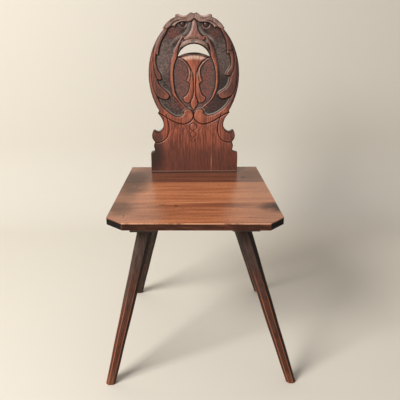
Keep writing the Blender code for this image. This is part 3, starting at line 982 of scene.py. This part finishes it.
aside, up = relief.at.T
field = relief.within(joined(
    SECOND_FOLD, UNDER_BROW, FIRST_LEAF, SECOND_LEAF, SECOND_TIP, THIRD_LEAF, THIRD_TIP, LOWER_RIM, VOLUTE,
))
in_field = field > 0
bowl = 1 - np.exp(-np.clip(field - WALL_WIDTH, 0, None) / BOWL_REACH)
relief.height -= WALL_DEPTH * soft(field, -0.2, WALL_WIDTH) + BOWL_DEPTH * bowl
relief.height -= OUTLINE_DEPTH * bell(field - 1.1, 0.9) * in_field
relief.height -= LEAF_EDGE_FALL * (1 - soft(-field, 0, 3.5)) * (~in_field)
print("deepest of the field:", round(float(relief.height.min()), 1), "mm")

# %% Leave the frame of the mouth standing
FRAME_TOP = -0.9
FRAME_FALL = 5.6
FRAME_EDGE = 0.5
POCKET_FLOOR = -6.4
POCKET_SWELL = 1.9

mouth = relief.within(joined(MOUTH_TOP, MOUTH_SIDE, MOUTH_FOOT))
crest_width = 1.8 + 1.4 * soft(up, 186, 240) + 5.0 * bell(up - 330, 22)
slope_width = (3.0 + 8.0 * soft(up, 186, 252)) * (1 - 0.45 * soft(up, 335, 374))
frame_top = FRAME_TOP - 1.8 * (1 - soft(up, 184, 236)) - 0.8 * soft(up, 345, 374)
frame_slope = frame_top - FRAME_FALL * soft(-mouth, 0.7 * crest_width, crest_width + slope_width)
outside = (mouth < 0) & in_field
relief.lift(outside, frame_slope - FRAME_EDGE * (1 - soft(-mouth, 0, 1.3)))
edge_top = frame_top - FRAME_EDGE
pocket = edge_top + (POCKET_FLOOR - edge_top) * soft(mouth, 0, 1.9) + POCKET_SWELL * soft(mouth, 3, 16)
relief.height = np.where(mouth > 0, pocket - 0.9 * bell(mouth - 1.6, 1.0), relief.height)
print("deepest of the mouth:", round(float(relief.height[mouth > 0].min()), 1), "mm")

# %% Leave the lip, the leaves and the tongue standing
lip = relief.within(np.vstack([curve(LIP), [(0, 330)], [(43.5, 324)]]))
crown_gap = np.hypot(aside, up - HOLE_MIDDLE) - HOLE_RADIUS
lip_top = -1.4 - 5.4 * (1 - soft(crown_gap, -1.0, 6.5)) * soft(up, 326, 336)
relief.raise_to(lip, lip_top, crown=0.6, width=2.0, foot=-4.8, wall=1.6)

leaf = relief.within(joined(LEAF_LIP, LEAF_HOOK, LEAF_SIDE, LEAF_FOOT))
tongue_edge = joined(TONGUE, BUD)
tongue_gap, _ = relief.near(tongue_edge)
leaf_top = -1.6 - 1.7 * (1 - soft(tongue_gap, 1, 6.5))
relief.raise_to(leaf, leaf_top, crown=0.5, width=1.6, foot=POCKET_FLOOR, wall=1.7)
tongue = relief.within(np.vstack([[(0, 350)], [(44, 350)], tongue_edge]))
below_sill = SILL_HEIGHT - SILL_CURVE * aside**2 - up
tongue_top = -0.5 - 5.2 * soft(-below_sill, -1, 9)
relief.raise_to(tongue, tongue_top, crown=1.5, width=6.0, foot=-4.2, wall=1.1)
relief.groove(tongue_edge, half_width=1.1, depth=1.7)
print("deepest cut:", round(float(relief.height.min()), 1), "mm")

# %% Shape the brow, the nose and the eyes
EYE_RADIUS = 6.9
LID_RADIUS = 9.9

fold, fold_run = relief.near(curve(CHEEK_FOLD))
relief.lift(outside, -3.4 - 3.5 * soft(fold, 0.8, 12.5))

nose = relief.within(joined(NOSE, NOSE_FOOT))
nose_top = -0.3 - 2.2 * soft(up, 378, 424)
relief.raise_to(nose, nose_top, crown=1.5, width=6.0, foot=-6.8, wall=1.8)

eye_gap = np.hypot(*(relief.at - EYE).T)
relief.height -= 1.5 * bell(eye_gap - EYE_RADIUS - 0.6, 1.4) * in_field
ball = -2.6 - 4.2 * (1 - np.sqrt(np.clip(1 - (eye_gap / EYE_RADIUS) ** 2, 0, 1)))
relief.lift((eye_gap < EYE_RADIUS) & in_field, ball)
lid = -4.0 - 3.5 * soft(np.abs(eye_gap - LID_RADIUS), 0.3, 2.0)
below_brow = soft(EYE[1] + 1 - up, 0, 5)
relief.lift(in_field, lid - 4 * (1 - below_brow))

strip = relief.within(joined(SECOND_FOLD, UNDER_BROW, BROW_EDGE))
brow_gap, _ = relief.near(curve(BROW_EDGE))
outer_brow = soft(aside, 24, 42)
relief.height -= (0.5 + 2.0 * (1 - soft(brow_gap, 0.5, 6.0))) * soft(strip, -0.4, 1.0) * outer_brow
relief.height -= 0.7 * bell(brow_gap, 1.0) * outer_brow
print("eye top:", round(float(relief.height[np.argmin(eye_gap)]), 1), "mm")

# %% Cut the incised lines
GROOVES = [
    (RIM_FOOT, 1.8, 2.6),
    (PARTING, 1.5, 2.4),
    (RIM_LINE, 1.2, 1.4),
    (LEAF_LINE, 1.4, 1.5),
    (NECK_LINE, 1.4, 2.2),
    (LEAF_VEIN, 1.2, 1.5),
]
NICK_PITCH = 4.4


def ring_gap(height, radius):
    """Distance of each point from a circle on the plank's middle line."""
    return np.abs(np.hypot(aside, up - height) - radius)


foot_line = curve(RIM_FOOT)
foot_gap, _ = relief.near(foot_line)
below_rim = inside(np.vstack([foot_line, [(99, -90)], [(0, -90)]]), relief.at)
relief.height -= 1.7 * (1 - soft(foot_gap, 1, 26)) * below_rim
for line, half_width, depth in GROOVES:
    relief.groove(curve(line), half_width, depth)
for height, radius, depth in CIRCLES:
    relief.height -= depth * bell(ring_gap(height, radius), 1.1)
notch = (5.6 - np.hypot(aside / 1.6, (up - 365.4) * 1.15)) * (mouth > 0)
relief.height -= 1.7 * soft(notch, 0, 2.4)
rim_gap, rim_run = relief.near(curve(LOWER_RIM))
nicks = (0.5 + 0.5 * np.cos(2 * math.pi * rim_run / NICK_PITCH)) * (1 - soft(-field, 1.0, 4.0))
relief.height -= 0.7 * nicks * (~in_field) * (rim_gap < 5)
print("lowest and highest:", round(float(relief.height.min()), 1), round(float(relief.height.max()), 1))

# %% [markdown]
# ## Where dirt gathers and where hands rub
# Polish and dirt darken the hollows, with painted shade, and handling bares the crests. Both follow from
# the relief itself: a point that lies below the average of its surroundings is a crevice, and one above it
# is a crest. The ground that rises toward a lower edge faces up, and a pale painted highlight lies along
# it;
# the notch under the nose and the corners beside it are pale too. Soot, dirt and painted shade darken the
# outline, the incised lines, the rounded edge above the hand hole and the place under the eyes. The wreath
# has aged darker than the rest, the brow and the lip are greyed, and hands that lift the chair wore the
# tongue's top pale, which a painted highlight brightens further.

# %% Find the hollow ground, its red places, and its dust and painted highlights
def averaged(grid, reach):
    """The raster smoothed over a square of that reach, three times."""
    for _ in range(3):
        for axis in (0, 1):
            pad = [(0, 0), (0, 0)]
            pad[axis] = (reach + 1, reach)
            total = np.cumsum(np.pad(grid, pad, mode="reflect"), axis=axis)
            width = 2 * reach + 1
            if axis == 0:
                grid = (total[width:] - total[:-width]) / width
            else:
                grid = (total[:, width:] - total[:, :-width]) / width
    return grid


def patch(middle, reach):
    return oval(aside, up, middle, reach)


standing = most(*[soft(part, -0.8, 0.6) for part in (nose, lip, leaf, tongue)])
on_crest = 1 - soft(-mouth, crest_width, crest_width + 2.6)
on_frame = np.where(mouth < 0, on_crest, 1 - soft(mouth, 0, 0.6))
in_notch = soft(notch, 0.3, 1.6)
ground = most(soft(field, -0.2, 0.6) * (1 - standing) * (1 - on_frame), 0.85 * in_notch)
floor = soft(mouth, 1.0, 4.0) * (1 - standing)
frame_foot = bell(-mouth - crest_width - 3.0, 4.5) * (1 - soft(up, 305, 335))
mid_pocket = 0.95 * soft(mouth, 6, 14) * soft(-leaf, 1, 7)
red_patches = most(0.7 * patch((58, 384), (20, 16)), 0.5 * patch((46, 196), (28, 16)))
rubbed = np.clip(most(frame_foot, red_patches, mid_pocket), 0, 1) * ground
# Painted highlight: a pale line just inside a lower edge, where the ground rises and faces up.
facing_up = np.clip(np.gradient(relief.grid(field), RASTER_STEP, axis=0).ravel(), 0, 1)
painted_highlight_line = bell(field - 3.1, 1.25) * np.sqrt(facing_up)
# Painted highlight along the cheek fold.
on_fold = bell(fold, 4.2) * outside * (1 - soft(fold_run, 48, 80))
by_nose = patch((34.5, 364), (4.5, 6.0))
dust_and_highlight = most(painted_highlight_line, 0.32 * on_fold, 0.45 * by_nose, 0.60 * in_notch) * ground
print("share of hollow ground:", round(float(ground.mean()), 3))

# %% Find what is aged, greyed, sooty and in painted shade
uncut = 1 - soft(field, -0.6, 0.2)
aged = uncut * soft(up, 168, 196) * (1 - soft(up, 384, 398))
upper_frame = on_crest * outside * (0.30 + 0.50 * soft(up, 318, 350))
aged = most(aged, upper_frame, 0.6 * patch((108, 106), (17, 22)))
eyelid = bell(eye_gap - LID_RADIUS, 1.2) * below_brow * in_field
brow = soft(up, 392, 406) * uncut
leaf_strip = soft(leaf, -0.3, 0.6) * (1 - soft(tongue, -0.8, 0.5)) * soft(up, 262, 284)
sill_edge = soft(tongue, 0, 1) * soft(-below_sill, -0.9, 0.6)
greyed = most(
    soft(lip, -0.5, 1.0), brow, eyelid, 0.55 * soft(nose, -0.5, 1.0), 0.75 * leaf_strip, 0.9 * sill_edge,
)
# Dirt and painted shade on the rounded edge above the hand hole, which faces down.
shade_and_dirt_by_crown = soft(lip, -0.5, 0.5) * (1 - soft(crown_gap, 2.4, 4.8)) * soft(up, 324, 332)
on_sill_top = 0.75 * soft(tongue, 0, 1) * soft(-below_sill, 0.5, 2.5)
# Painted shade under the eye.
shade_under_eye = 0.5 * patch((30, 391), (7.5, 6.5)) * ground * (1 - soft(6.0 - fold, 0, 3))
parting = 0.45 * bell(aside, 2.4) * soft(up, 423, 429)
# Dirt and painted shade along the foot of the field's wall and in the incised lines and rings.
outline = 0.85 * bell(field - 0.6, 1.0)
neck_gap, _ = relief.near(curve(NECK_LINE))
incised = most(0.85 * bell(foot_gap, 1.6), 0.65 * bell(neck_gap, 1.3))
rings = most(*[0.60 * bell(ring_gap(height, radius), 1.0) for height, radius, _ in CIRCLES[:2]])
# The dark lines and patches above: soot and dirt, with painted shade.
soot_and_shade = most(shade_and_dirt_by_crown, on_sill_top, shade_under_eye, parting, outline, incised, rings)
print("share of soot:", round(float(soot_and_shade.mean()), 3))

# %% Find the worn places, the painted highlights, the crevices and the crests
# The tongue's top, worn pale by hands and brightened with a painted highlight.
sill_wear_and_highlight = soft(tongue, 0, 2) * soft(below_sill, -0.5, 1.0) * (1 - soft(below_sill, 4, 13))
on_lip = soft(lip, 0, 1.5) * (0.40 - 0.25 * soft(crown_gap, 5, 11))
tips = 0.6 * patch((14, 162), (20, 15)) + 0.5 * patch((77, 217), (11, 8))
rubbed_bright = most(tips * ~in_field, 0.4 * patch((0, 290), (9, 22)))
kept_clear = most(0.7 * in_notch, 0.7 * by_nose, 0.85 * painted_highlight_line)
heights = relief.grid(relief.height)
above = (heights - averaged(heights, 2)).ravel()
wide_above = (heights - averaged(heights, 7)).ravel()
# Dirt and painted shade in the crevices, where the relief lies below its surroundings.
crevices = np.clip((-above - 0.07) / 0.50, 0, 1)
edges_up = np.clip((above - 0.08) / 0.6, 0, 1) * 0.7 + np.clip(wide_above / 2.2, 0, 1) * 0.3
found = {
    "height": relief.height,
    "hollow": ground * (1 - eyelid),
    "floor": floor,
    "rubbed": rubbed,
    "dust_and_highlight": dust_and_highlight,
    "aged": aged,
    "greyed": greyed,
    "worn_and_highlight": most(sill_wear_and_highlight, on_lip * (1 - in_notch)),
    "eye": (1 - soft(eye_gap, EYE_RADIUS - 0.5, EYE_RADIUS + 1)) * in_field,
    "dark": most(crevices * (1 - kept_clear), soot_and_shade),
    "crest": most(edges_up, rubbed_bright),
}
maps = {name: relief.grid(values) for name, values in found.items()}
print("maps:", ", ".join(maps))

# %% [markdown]
# ## Carving the plank
# The plank's own front gives the plane to carve on. A fine grid lies on that plane, each of its points is
# pressed in by the relief, and the grid is closed into a slab. What the slab and a copy of the solid have
# in common is the carved plank: the front comes from the slab, and the outline, the hand hole, the back and
# the tenons come from the solid. No carver repeats a half exactly, so the pattern's middle line leans a
# little, some places slip by a few millimetres on one side only, and the right side has an old crack.

# %% Find the plank's front plane
MM = 1000.0
SEAT_GAP = 0.0003
ON_PLANE = 1e-5

plank = merged_copy("back_plank")
front = max((face for face in plank.faces if face.normal.y < -0.9), key=lambda face: face.calc_area())
lean = math.atan2(front.normal.z, -front.normal.y)
plank_low, plank_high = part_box("back_plank")
across = np.array([1.0, 0.0, 0.0])
upward = np.array([0.0, math.sin(lean), math.cos(lean)])
inward = np.array([0.0, math.cos(lean), -math.sin(lean)])
seen = front.calc_center_median()
foot_z = SEAT_TOP + SEAT_GAP
corner = np.array([(plank_low.x + plank_high.x) / 2, seen.y + (foot_z - seen.z) * math.tan(lean), foot_z])


def on_plank(points):
    """Points of the frame in the plank's own millimetres: across, up and into the plank."""
    away = (points - corner) * MM
    return away @ across, away @ upward, away @ inward


def from_plank(u, v, depth):
    return corner + (np.outer(u, across) + np.outer(v, upward) + np.outer(depth, inward)) / MM


def ends_on_plank(edge):
    return on_plank(np.array([vert.co for vert in edge.verts]))


def on_front(face):
    away = abs((face.verts[0].co - seen).dot(front.normal))
    return face.normal.dot(front.normal) > 0.999 and away < ON_PLANE


front_rim = []
for edge in plank.edges:
    if sum(on_front(face) for face in edge.link_faces) == 1:
        u, v, _ = ends_on_plank(edge)
        front_rim.append(np.stack([u, v], axis=1))
print("lean of the back:", round(math.degrees(lean), 2), "degrees, rim edges:", len(front_rim))

# %% Read the relief at any point
PATTERN_LEAN = 0.0145
PATTERN_MIDDLE = 283.0
BEND = 2.6
BEND_HEIGHT = 240.0
BEND_REACH = 55.0
HAND_SLIPS = [
    ("left", (88, 262), (2.0, -3.0), (20, 20)),
    ("left", (97, 318), (4.5, 0.0), (16, 40)),
    ("left", (70, 219), (4.5, -1.0), (14, 12)),
    ("right", (45, 206), (2.5, 0.0), (16, 18)),
    ("right", (93, 272), (-1.0, 9.0), (20, 20)),
    ("right", (76, 224), (0.0, 4.0), (24, 15)),
    ("right", (91, 343), (-4.5, 3.0), (16, 26)),
    ("right", (48, 166), (0.0, 3.5), (40, 13)),
    ("right", (50, 406), (1.0, -2.5), (30, 15)),
]


def in_pattern(u, v):
    """Where points of the plank lie on the drawn half, and which of them are on the right."""
    bend = BEND * bell(v - BEND_HEIGHT, BEND_REACH)
    sideways = u - PATTERN_LEAN * (v - PATTERN_MIDDLE) - bend
    drawn_u, drawn_v = np.abs(sideways), v.copy()
    for side, middle, slip, reach in HAND_SLIPS:
        share = oval(np.abs(sideways), v, middle, reach) * ((sideways > 0) == (side == "right"))
        drawn_u = drawn_u - slip[0] * share
        drawn_v = drawn_v - slip[1] * share
    return drawn_u, drawn_v, sideways > 0


def read_map(name, u, v):
    """A map's value at points of the plank."""
    grid = maps[name]
    drawn_u, drawn_v, _ = in_pattern(u, v)
    column = np.clip(drawn_u / RASTER_STEP, 0, grid.shape[1] - 1.001)
    row = np.clip((drawn_v - RASTER_LOW) / RASTER_STEP, 0, grid.shape[0] - 1.001)
    c, r = column.astype(int), row.astype(int)
    fc, fr = column - c, row - r
    lower = grid[r, c] * (1 - fc) + grid[r, c + 1] * fc
    upper = grid[r + 1, c] * (1 - fc) + grid[r + 1, c + 1] * fc
    return lower * (1 - fr) + upper * fr


at_nose = read_map("height", np.array([2.0]), np.array([385.0]))
print("relief at the nose:", round(float(at_nose[0]), 2), "mm")

# %% Round the rim and place the crack
CRACK = [(84, 335), (93.5, 338), (99.5, 337.5), (109.5, 341), (120, 340)]
CRACK_WIDTH = 1.1
RIM_RADIUS = 1.0
OVAL_RADIUS = 2.2
OVAL_ROLL = 3.2
OVAL_ROLL_REACH = 17.0


def crack_mark(u, v):
    """1 in the crack of the right side, and 0 away from it."""
    drawn_u, drawn_v, right = in_pattern(u, v)
    gap, _ = distance(np.array(CRACK, float), np.stack([drawn_u, drawn_v], axis=1))
    return bell(gap, CRACK_WIDTH) * right


def rim_distance(u, v):
    """Distance of points of the plank from its outline or the hand hole."""
    at = np.stack([u, v], axis=1)
    best = np.full(len(at), 1e9)
    for ends in front_rim:
        gap, _ = distance(ends, at)
        best = np.minimum(best, gap)
    return best


def rim_drop(u, v):
    """How far the front falls away where its outer edge is rounded, most of all around the oval."""
    gap = rim_distance(u, v)
    on_oval = soft(v, 172, 190) * (1 - soft(v, 388, 404)) * soft(np.abs(u), 60, 75)
    radius = RIM_RADIUS + (OVAL_RADIUS - RIM_RADIUS) * on_oval
    share = np.clip(1 - gap / radius, 0, 1)
    roll = OVAL_ROLL * on_oval * np.clip(1 - gap / OVAL_ROLL_REACH, 0, 1) ** 2
    return radius * (1 - np.sqrt(1 - (0.97 * share) ** 2)) + roll


rim_u, rim_v = np.vstack(front_rim).T
print("the rim falls by up to", round(float(rim_drop(rim_u, rim_v).max()), 1), "mm")

# %% Press the relief into a fine slab
GRID_STEP = 1.1
SLAB_MARGIN = 6.0
SLAB_BACK = 40.0
SKIN = 0.15
CRACK_DEPTH = 1.6


def gathered(items, name):
    """A vector that each of a mesh's items has, one row for each item."""
    flat = np.zeros(3 * len(items))
    items.foreach_get(name, flat)
    return flat.reshape(-1, 3)


def carved_slab():
    u, v, _ = on_plank(np.array([vert.co for vert in plank.verts]))
    low = np.array([u.min(), v.min()]) - SLAB_MARGIN
    span = np.array([u.max(), v.max()]) + SLAB_MARGIN - low
    count = (span / GRID_STEP).astype(int)
    shape = bmesh.new()
    bmesh.ops.create_grid(shape, x_segments=int(count[0]), y_segments=int(count[1]), size=0.5)
    rim = [edge for edge in shape.edges if edge.is_boundary]
    grown = bmesh.ops.extrude_edge_only(shape, edges=rim)["geom"]
    moved = {item for item in grown if isinstance(item, bmesh.types.BMVert)}
    bmesh.ops.translate(shape, verts=list(moved), vec=(0, 0, 1))
    back_rim = [edge for edge in shape.edges if edge.verts[0] in moved and edge.verts[1] in moved]
    bmesh.ops.edgeloop_fill(shape, edges=back_rim)
    bmesh.ops.recalc_face_normals(shape, faces=shape.faces)
    mesh = mesh_of(shape, "carved_slab", smooth=False)
    flat = gathered(mesh.vertices, "co")
    u = low[0] + (flat[:, 0] + 0.5) * span[0]
    v = low[1] + (flat[:, 1] + 0.5) * span[1]
    depth = SKIN - read_map("height", u, v) + rim_drop(u, v) + CRACK_DEPTH * crack_mark(u, v)
    depth[flat[:, 2] > 0.5] = SLAB_BACK
    mesh.vertices.foreach_set("co", from_plank(u, v, depth).ravel())
    mesh.update()
    return mesh


slab_mesh = carved_slab()
print("slab faces:", len(slab_mesh.polygons))

# %% Keep what the slab and the solid share
BACK_EASE = 0.0010
BACK_DEPTH = 25.5
BASE_HEIGHT = 3.0


def shared_shape():
    """The slab cut to the plank's outline, hand hole, back and tenons."""
    back_rim = []
    for edge in plank.edges:
        _, v, depth = ends_on_plank(edge)
        at_back = depth.min() > BACK_DEPTH and v.min() > BASE_HEIGHT
        if at_back and edge.calc_face_angle_signed(0) > SHARP_ANGLE:
            back_rim.append(edge)
    rounded(plank, back_rim, BACK_EASE, 2)
    solid_mesh = bpy.data.meshes.new("plank_copy")
    plank.to_mesh(solid_mesh)
    solid = in_scene("plank_copy", solid_mesh)
    slab = in_scene("carved_slab", slab_mesh)
    meet = slab.modifiers.new("meet", "BOOLEAN")
    meet.operation = "INTERSECT"
    meet.solver = "MANIFOLD"
    meet.object = solid
    graph = bpy.context.evaluated_depsgraph_get()
    mesh = bpy.data.meshes.new_from_object(slab.evaluated_get(graph))
    for obj in (solid, slab):
        bpy.data.objects.remove(obj)
    return mesh


carved_mesh = shared_shape()
carved_mesh.name = "back_plank_carved"
triangles = sum(len(face.vertices) - 2 for face in carved_mesh.polygons)
print("carved plank:", triangles, "triangles")

# %% [markdown]
# ## The back's finish
# The raised work is polished reddish brown and lighter on its crests, with painted shade on the right of
# the wreath and dirt with painted shade at the plank's foot. The sunk ground is dark under a mottled grey
# that is a painted reflection, brighter on the lit left, with red showing through in clouds and a pale
# painted highlight along its lower edges, and the crevices are black with dirt and painted shade. The
# values found above ride on the mesh as attributes, so the finish follows every leaf.

# %% Give the carved mesh its values
EDGE_REACH = 2.6
SADDLE_OUT = 31.0
SADDLE_REACH = 13.0
SADDLE_RIM = 3.2
HORN = ((47.5, 428.0), (5.0, 6.0))
RIM_BAND = 6.0
LIT_FLANK = ((-13.0, 394.0), (8.0, 18.0))
SHADED_FLANK = ((15.5, 409.0), (7.0, 9.5))
SHADED_LIP = ((32.0, 352.0), (13.0, 15.0))
FRONT_DEPTH = 14.0


def store_values(mesh):
    """Read the maps at the points; add the rim, painted light and shade, and what one side alone changes.
    """
    u, v, depth = on_plank(gathered(mesh.vertices, "co"))
    values = {name: read_map(name, u, v) for name in maps if name != "height"}
    gap = rim_distance(u, v)
    at_rim = bell(gap, SADDLE_RIM)
    in_saddle = soft(v, 410, 416) * bell(np.abs(u) - SADDLE_OUT, SADDLE_REACH)
    # Painted highlight: a pale strip on the rounded rim of the crown's saddles, where light falls from
    # above.
    saddle_highlight = at_rim * in_saddle
    # Painted shade: a dark line just below that strip.
    saddle_shade_line = 0.95 * bell(gap - 1.8 * SADDLE_RIM, 1.2) * in_saddle
    # Dirt and painted shade along the rims of the horns.
    horn_edge_dirt_and_shade = at_rim * oval(np.abs(u), v, *HORN)
    # Dirt and painted shade along the plank's rounded outer edge.
    edge = bell(gap, EDGE_REACH) * soft(v, 50, 90) * (1 - 0.2 * soft(v, 395, 405))
    # Painted light on the wreath's left rim: less aged colour and a painted highlight.
    lit_rim = bell(gap - RIM_BAND, 4.0) * soft(-u, 70, 90) * soft(v, 200, 235) * (1 - soft(v, 350, 385))
    # Painted shade on the right of the lip, and on the nose's right flank.
    shaded_lip = oval(u, v, *SHADED_LIP)
    shaded_flank = 0.75 * oval(u, v, *SHADED_FLANK) * values["hollow"]
    lip_right_shade = 0.48 * shaded_lip * values["greyed"]
    values["worn_and_highlight"] = most(values["worn_and_highlight"], 0.75 * saddle_highlight) * (1 - 0.85 * shaded_lip)
    values["aged"] = values["aged"] * (1 - 0.6 * lit_rim)
    values["crest"] = most(values["crest"], 0.45 * lit_rim)
    # Painted light on the nose's left flank: its crevice darkness is lessened.
    lit_dark = values["dark"] * (1 - 0.7 * oval(u, v, *LIT_FLANK))
    darker = [0.85 * edge - saddle_highlight, saddle_shade_line, horn_edge_dirt_and_shade, crack_mark(u, v), shaded_flank, lip_right_shade]
    values["dark"] = most(lit_dark, *darker)
    for name, value in values.items():
        value = np.where(depth < FRONT_DEPTH, value, 0.0).astype(np.float32)
        mesh.attributes.new(name, "FLOAT", "POINT").data.foreach_set("value", value)


store_values(carved_mesh)
print("values on the mesh:", [a.name for a in carved_mesh.attributes if a.data_type == "FLOAT"])

# %% Mark the plank's sides
SIDE_LOW = 2.0
SIDE_REACH = 0.6
CARVED_CREASE = math.radians(62)


def store_sides(mesh):
    """1 on the faces of the plank's thickness, around its outline and in the hand hole."""
    u, v, _ = on_plank(gathered(mesh.polygons, "center"))
    side = (np.abs(gathered(mesh.polygons, "normal") @ inward) < 0.3) & (v > SIDE_LOW)
    side[side] = rim_distance(u[side], v[side]) < SIDE_REACH
    mesh.attributes.new("side", "FLOAT", "FACE").data.foreach_set("value", side.astype(np.float32))


store_sides(carved_mesh)
for polygon in carved_mesh.polygons:
    polygon.use_smooth = True
carved_mesh.set_sharp_from_angle(angle=CARVED_CREASE)
print("faces of the carved mesh:", len(carved_mesh.polygons))

# %% Mix the colours of the back
BACK_RAISED_DARK = tone(102, 54, 42)
BACK_RAISED = tone(168, 92, 69)
BACK_AGED_DARK = tone(66, 42, 38)
BACK_AGED = tone(116, 70, 60)
BACK_CREST = tone(204, 128, 98)
BACK_CREST_GREYED = tone(176, 136, 122)
# Worn pale wood, also used for the painted highlights on the tongue's top and the crown's rim.
BACK_WORN_AND_HIGHLIGHT = tone(220, 184, 166)
BACK_GREYED = tone(164, 138, 129)
BACK_GREYED_DARK = tone(104, 77, 71)
BACK_GROUND = tone(45, 36, 35)
# A painted reflection of the pale room on the dark ground.
BACK_GROUND_SHEEN = tone(116, 98, 92)
BACK_GROUND_RED = tone(138, 69, 58)
BACK_FLOOR = tone(76, 60, 57)
BACK_FLOOR_GREY = tone(110, 90, 85)
# Pale colour of the painted highlights on the ground, and of the pale notch and corners by the nose.
BACK_DUST_AND_HIGHLIGHT = tone(204, 192, 182)
BACK_BLACK = tone(20, 14, 12)
BACK_BASE = tone(90, 55, 47)
BACK_SIDE = tone(66, 48, 43)
BACK_EYE = tone(58, 35, 31)
BACK_STAIN = tone(50, 38, 36)
BACK_FOOT_LINE = tone(160, 118, 104)
SHEENS = [
    ((-0.093, 0.322), (0.040, 0.060), 0.52),
    ((0.066, 0.322), (0.040, 0.060), 0.42),
]
BASE_STAIN = ((-0.132, 0.055), (0.044, 0.078), 0.9)
PALE_STREAK = ((0.0353, 0.030), (0.0020, 0.036), 0.7)
print("sheens on the ground:", len(SHEENS))

# %% Stain the raised wood and the sunk ground, with painted light and shade
def raised_wood(finish, x, rise, streak, fibre, growth, cloud):
    """The polished wood of all that stands proud, from the base up to the brow."""
    aged = finish.spread("aged")
    grain = finish.between(growth * 0.2 + streak * 0.8, 0.40, 0.60)
    grey_grain = finish.between(cloud * 0.6 + streak * 0.4, 0.36, 0.60)
    pale_streak = finish.spot(x, rise, *PALE_STREAK) * finish.between(streak, 0.3, 0.6)
    return finish.coats(
        finish.blend(BACK_RAISED_DARK, BACK_RAISED, grain),
        (finish.blend(BACK_AGED_DARK, BACK_AGED, grain), aged),
        # Painted shade: the wreath darker on its right side.
        (BACK_AGED_DARK, finish.between(x, 0.070, 0.100) * aged * 0.45),
        (BACK_RAISED_DARK, finish.between(fibre, 0.54, 0.70) * 0.6),
        (BACK_BASE, finish.between(rise, 0.115, 0.04) * 0.72),
        (BACK_STAIN, finish.spot(x, rise, *BASE_STAIN)),
        (BACK_CREST, pale_streak),
        (BACK_FOOT_LINE, finish.between(rise, 0.0048, 0.0036) * 0.8),
        # Dirt and painted shade along the plank's bottom, where it meets the seat.
        (BACK_BLACK, finish.between(rise, 0.0026, 0.0016) * 0.85),
        (finish.blend(BACK_GREYED_DARK, BACK_GREYED, grey_grain), finish.spread("greyed") * 0.95),
    )


def sunk_ground(finish, x, y, z, rise, cloud, stipple):
    """The sunk ground: fine grey painted reflection, red where rubbed, and dust with painted highlight."""
    mottle = finish.noise(x * 260, y * 260, z * 260, detail=3.0, roughness=0.6)
    patchy = finish.between(mottle, 0.37, 0.66)
    # Painted light and shade: more grey reflection and red on the lit left, less grey low on the right.
    lit_side = finish.between(x, 0.09, -0.11)
    shaded_low_right = finish.between(x, 0.015, 0.060) * finish.between(rise, 0.32, 0.25)
    # The grey share is a painted reflection, with the painted sheen spots added to it.
    grey = patchy * (0.24 + lit_side * 0.35) * (1 - shaded_low_right * 0.55)
    for sheen in SHEENS:
        grey = grey + finish.spot(x, rise, *sheen) * (0.55 + patchy * 0.90)
    floor = finish.spread("floor")
    patches = finish.between(cloud * 0.40 + mottle * 0.60, 0.36, 0.64)
    specks = finish.between(stipple * 0.3 + mottle * 0.4 + cloud * 0.3, 0.44, 0.60)
    red = patches * (0.45 + lit_side * 0.55) * (1 - floor) + specks * floor
    # The pale painted highlight is stronger on the right, where the rising ground faces the lamp.
    highlight_share = 0.50 + finish.between(x, -0.03, 0.05) * 0.45
    return finish.coats(
        finish.blend(BACK_GROUND, BACK_GROUND_SHEEN, grey),
        (finish.blend(BACK_FLOOR, BACK_FLOOR_GREY, patchy), floor),
        (BACK_GROUND_RED, finish.spread("rubbed") * red),
        (BACK_DUST_AND_HIGHLIGHT, finish.spread("dust_and_highlight") * highlight_share),
    )


print("stains ready")

# %% Stain and polish the back
def back_finish():
    finish = Finish("carved_back_polish")
    x, y, z = finish.place()
    rise = z - SEAT_TOP
    streak = finish.noise(x * 380, y * 380, z * 12, detail=3.0, roughness=0.6)
    fibre = finish.noise(x * 1300, y * 1300, z * 55, detail=1.0)
    growth = finish.noise(x * 60, y * 60, z * 2.5 + 7.0)
    cloud = finish.noise(x * 42, y * 42, z * 42, detail=4.0, roughness=0.65)
    stipple = finish.noise(x * 420, y * 420, z * 420)
    hollow = finish.spread("hollow")
    side = finish.spread("side")
    dark = finish.spread("dark") * 0.96
    high = finish.between(rise, 0.31, 0.36)
    crest = finish.spread("crest") * (1 - hollow * 0.8) * finish.between(cloud, 0.28, 0.58)
    crest = crest * (0.66 - finish.spread("aged") * 0.16)
    crest = crest * (1 - high * finish.between(x, 0.0, 0.03) * 0.5)
    bared_and_highlight = finish.spread("worn_and_highlight") * finish.between(streak, 0.22, 0.52)
    colour = finish.coats(
        raised_wood(finish, x, rise, streak, fibre, growth, cloud),
        (sunk_ground(finish, x, y, z, rise, cloud, stipple), hollow),
        (finish.blend(BACK_CREST, BACK_CREST_GREYED, high), crest),
        # Worn pale wood, with painted highlights on the tongue's top and the crown's rim.
        (BACK_WORN_AND_HIGHLIGHT, bared_and_highlight * 0.88),
        (BACK_EYE, finish.spread("eye") * 0.9),
        (BACK_BLACK, dark),
        (BACK_SIDE, side * finish.between(rise, 0.05, 0.07)),
    )
    finish.put("Base Color", colour)
    finish.put("Roughness", 0.34 - hollow * 0.06 + cloud * 0.10)
    finish.bump(streak * 0.4 + fibre * 0.3 + stipple * hollow * 1.4, distance=0.0006, strength=0.55)
    finish.dull(dark * (1 - side), specular=0.10, roughness=0.7)
    return finish.material


carved_mesh.materials.clear()
carved_mesh.materials.append(back_finish())
carved_back = in_scene("back_plank_carved", carved_mesh)
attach(carved_back, "root")
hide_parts("back_plank")
plank.free()
print("back stained and polished")
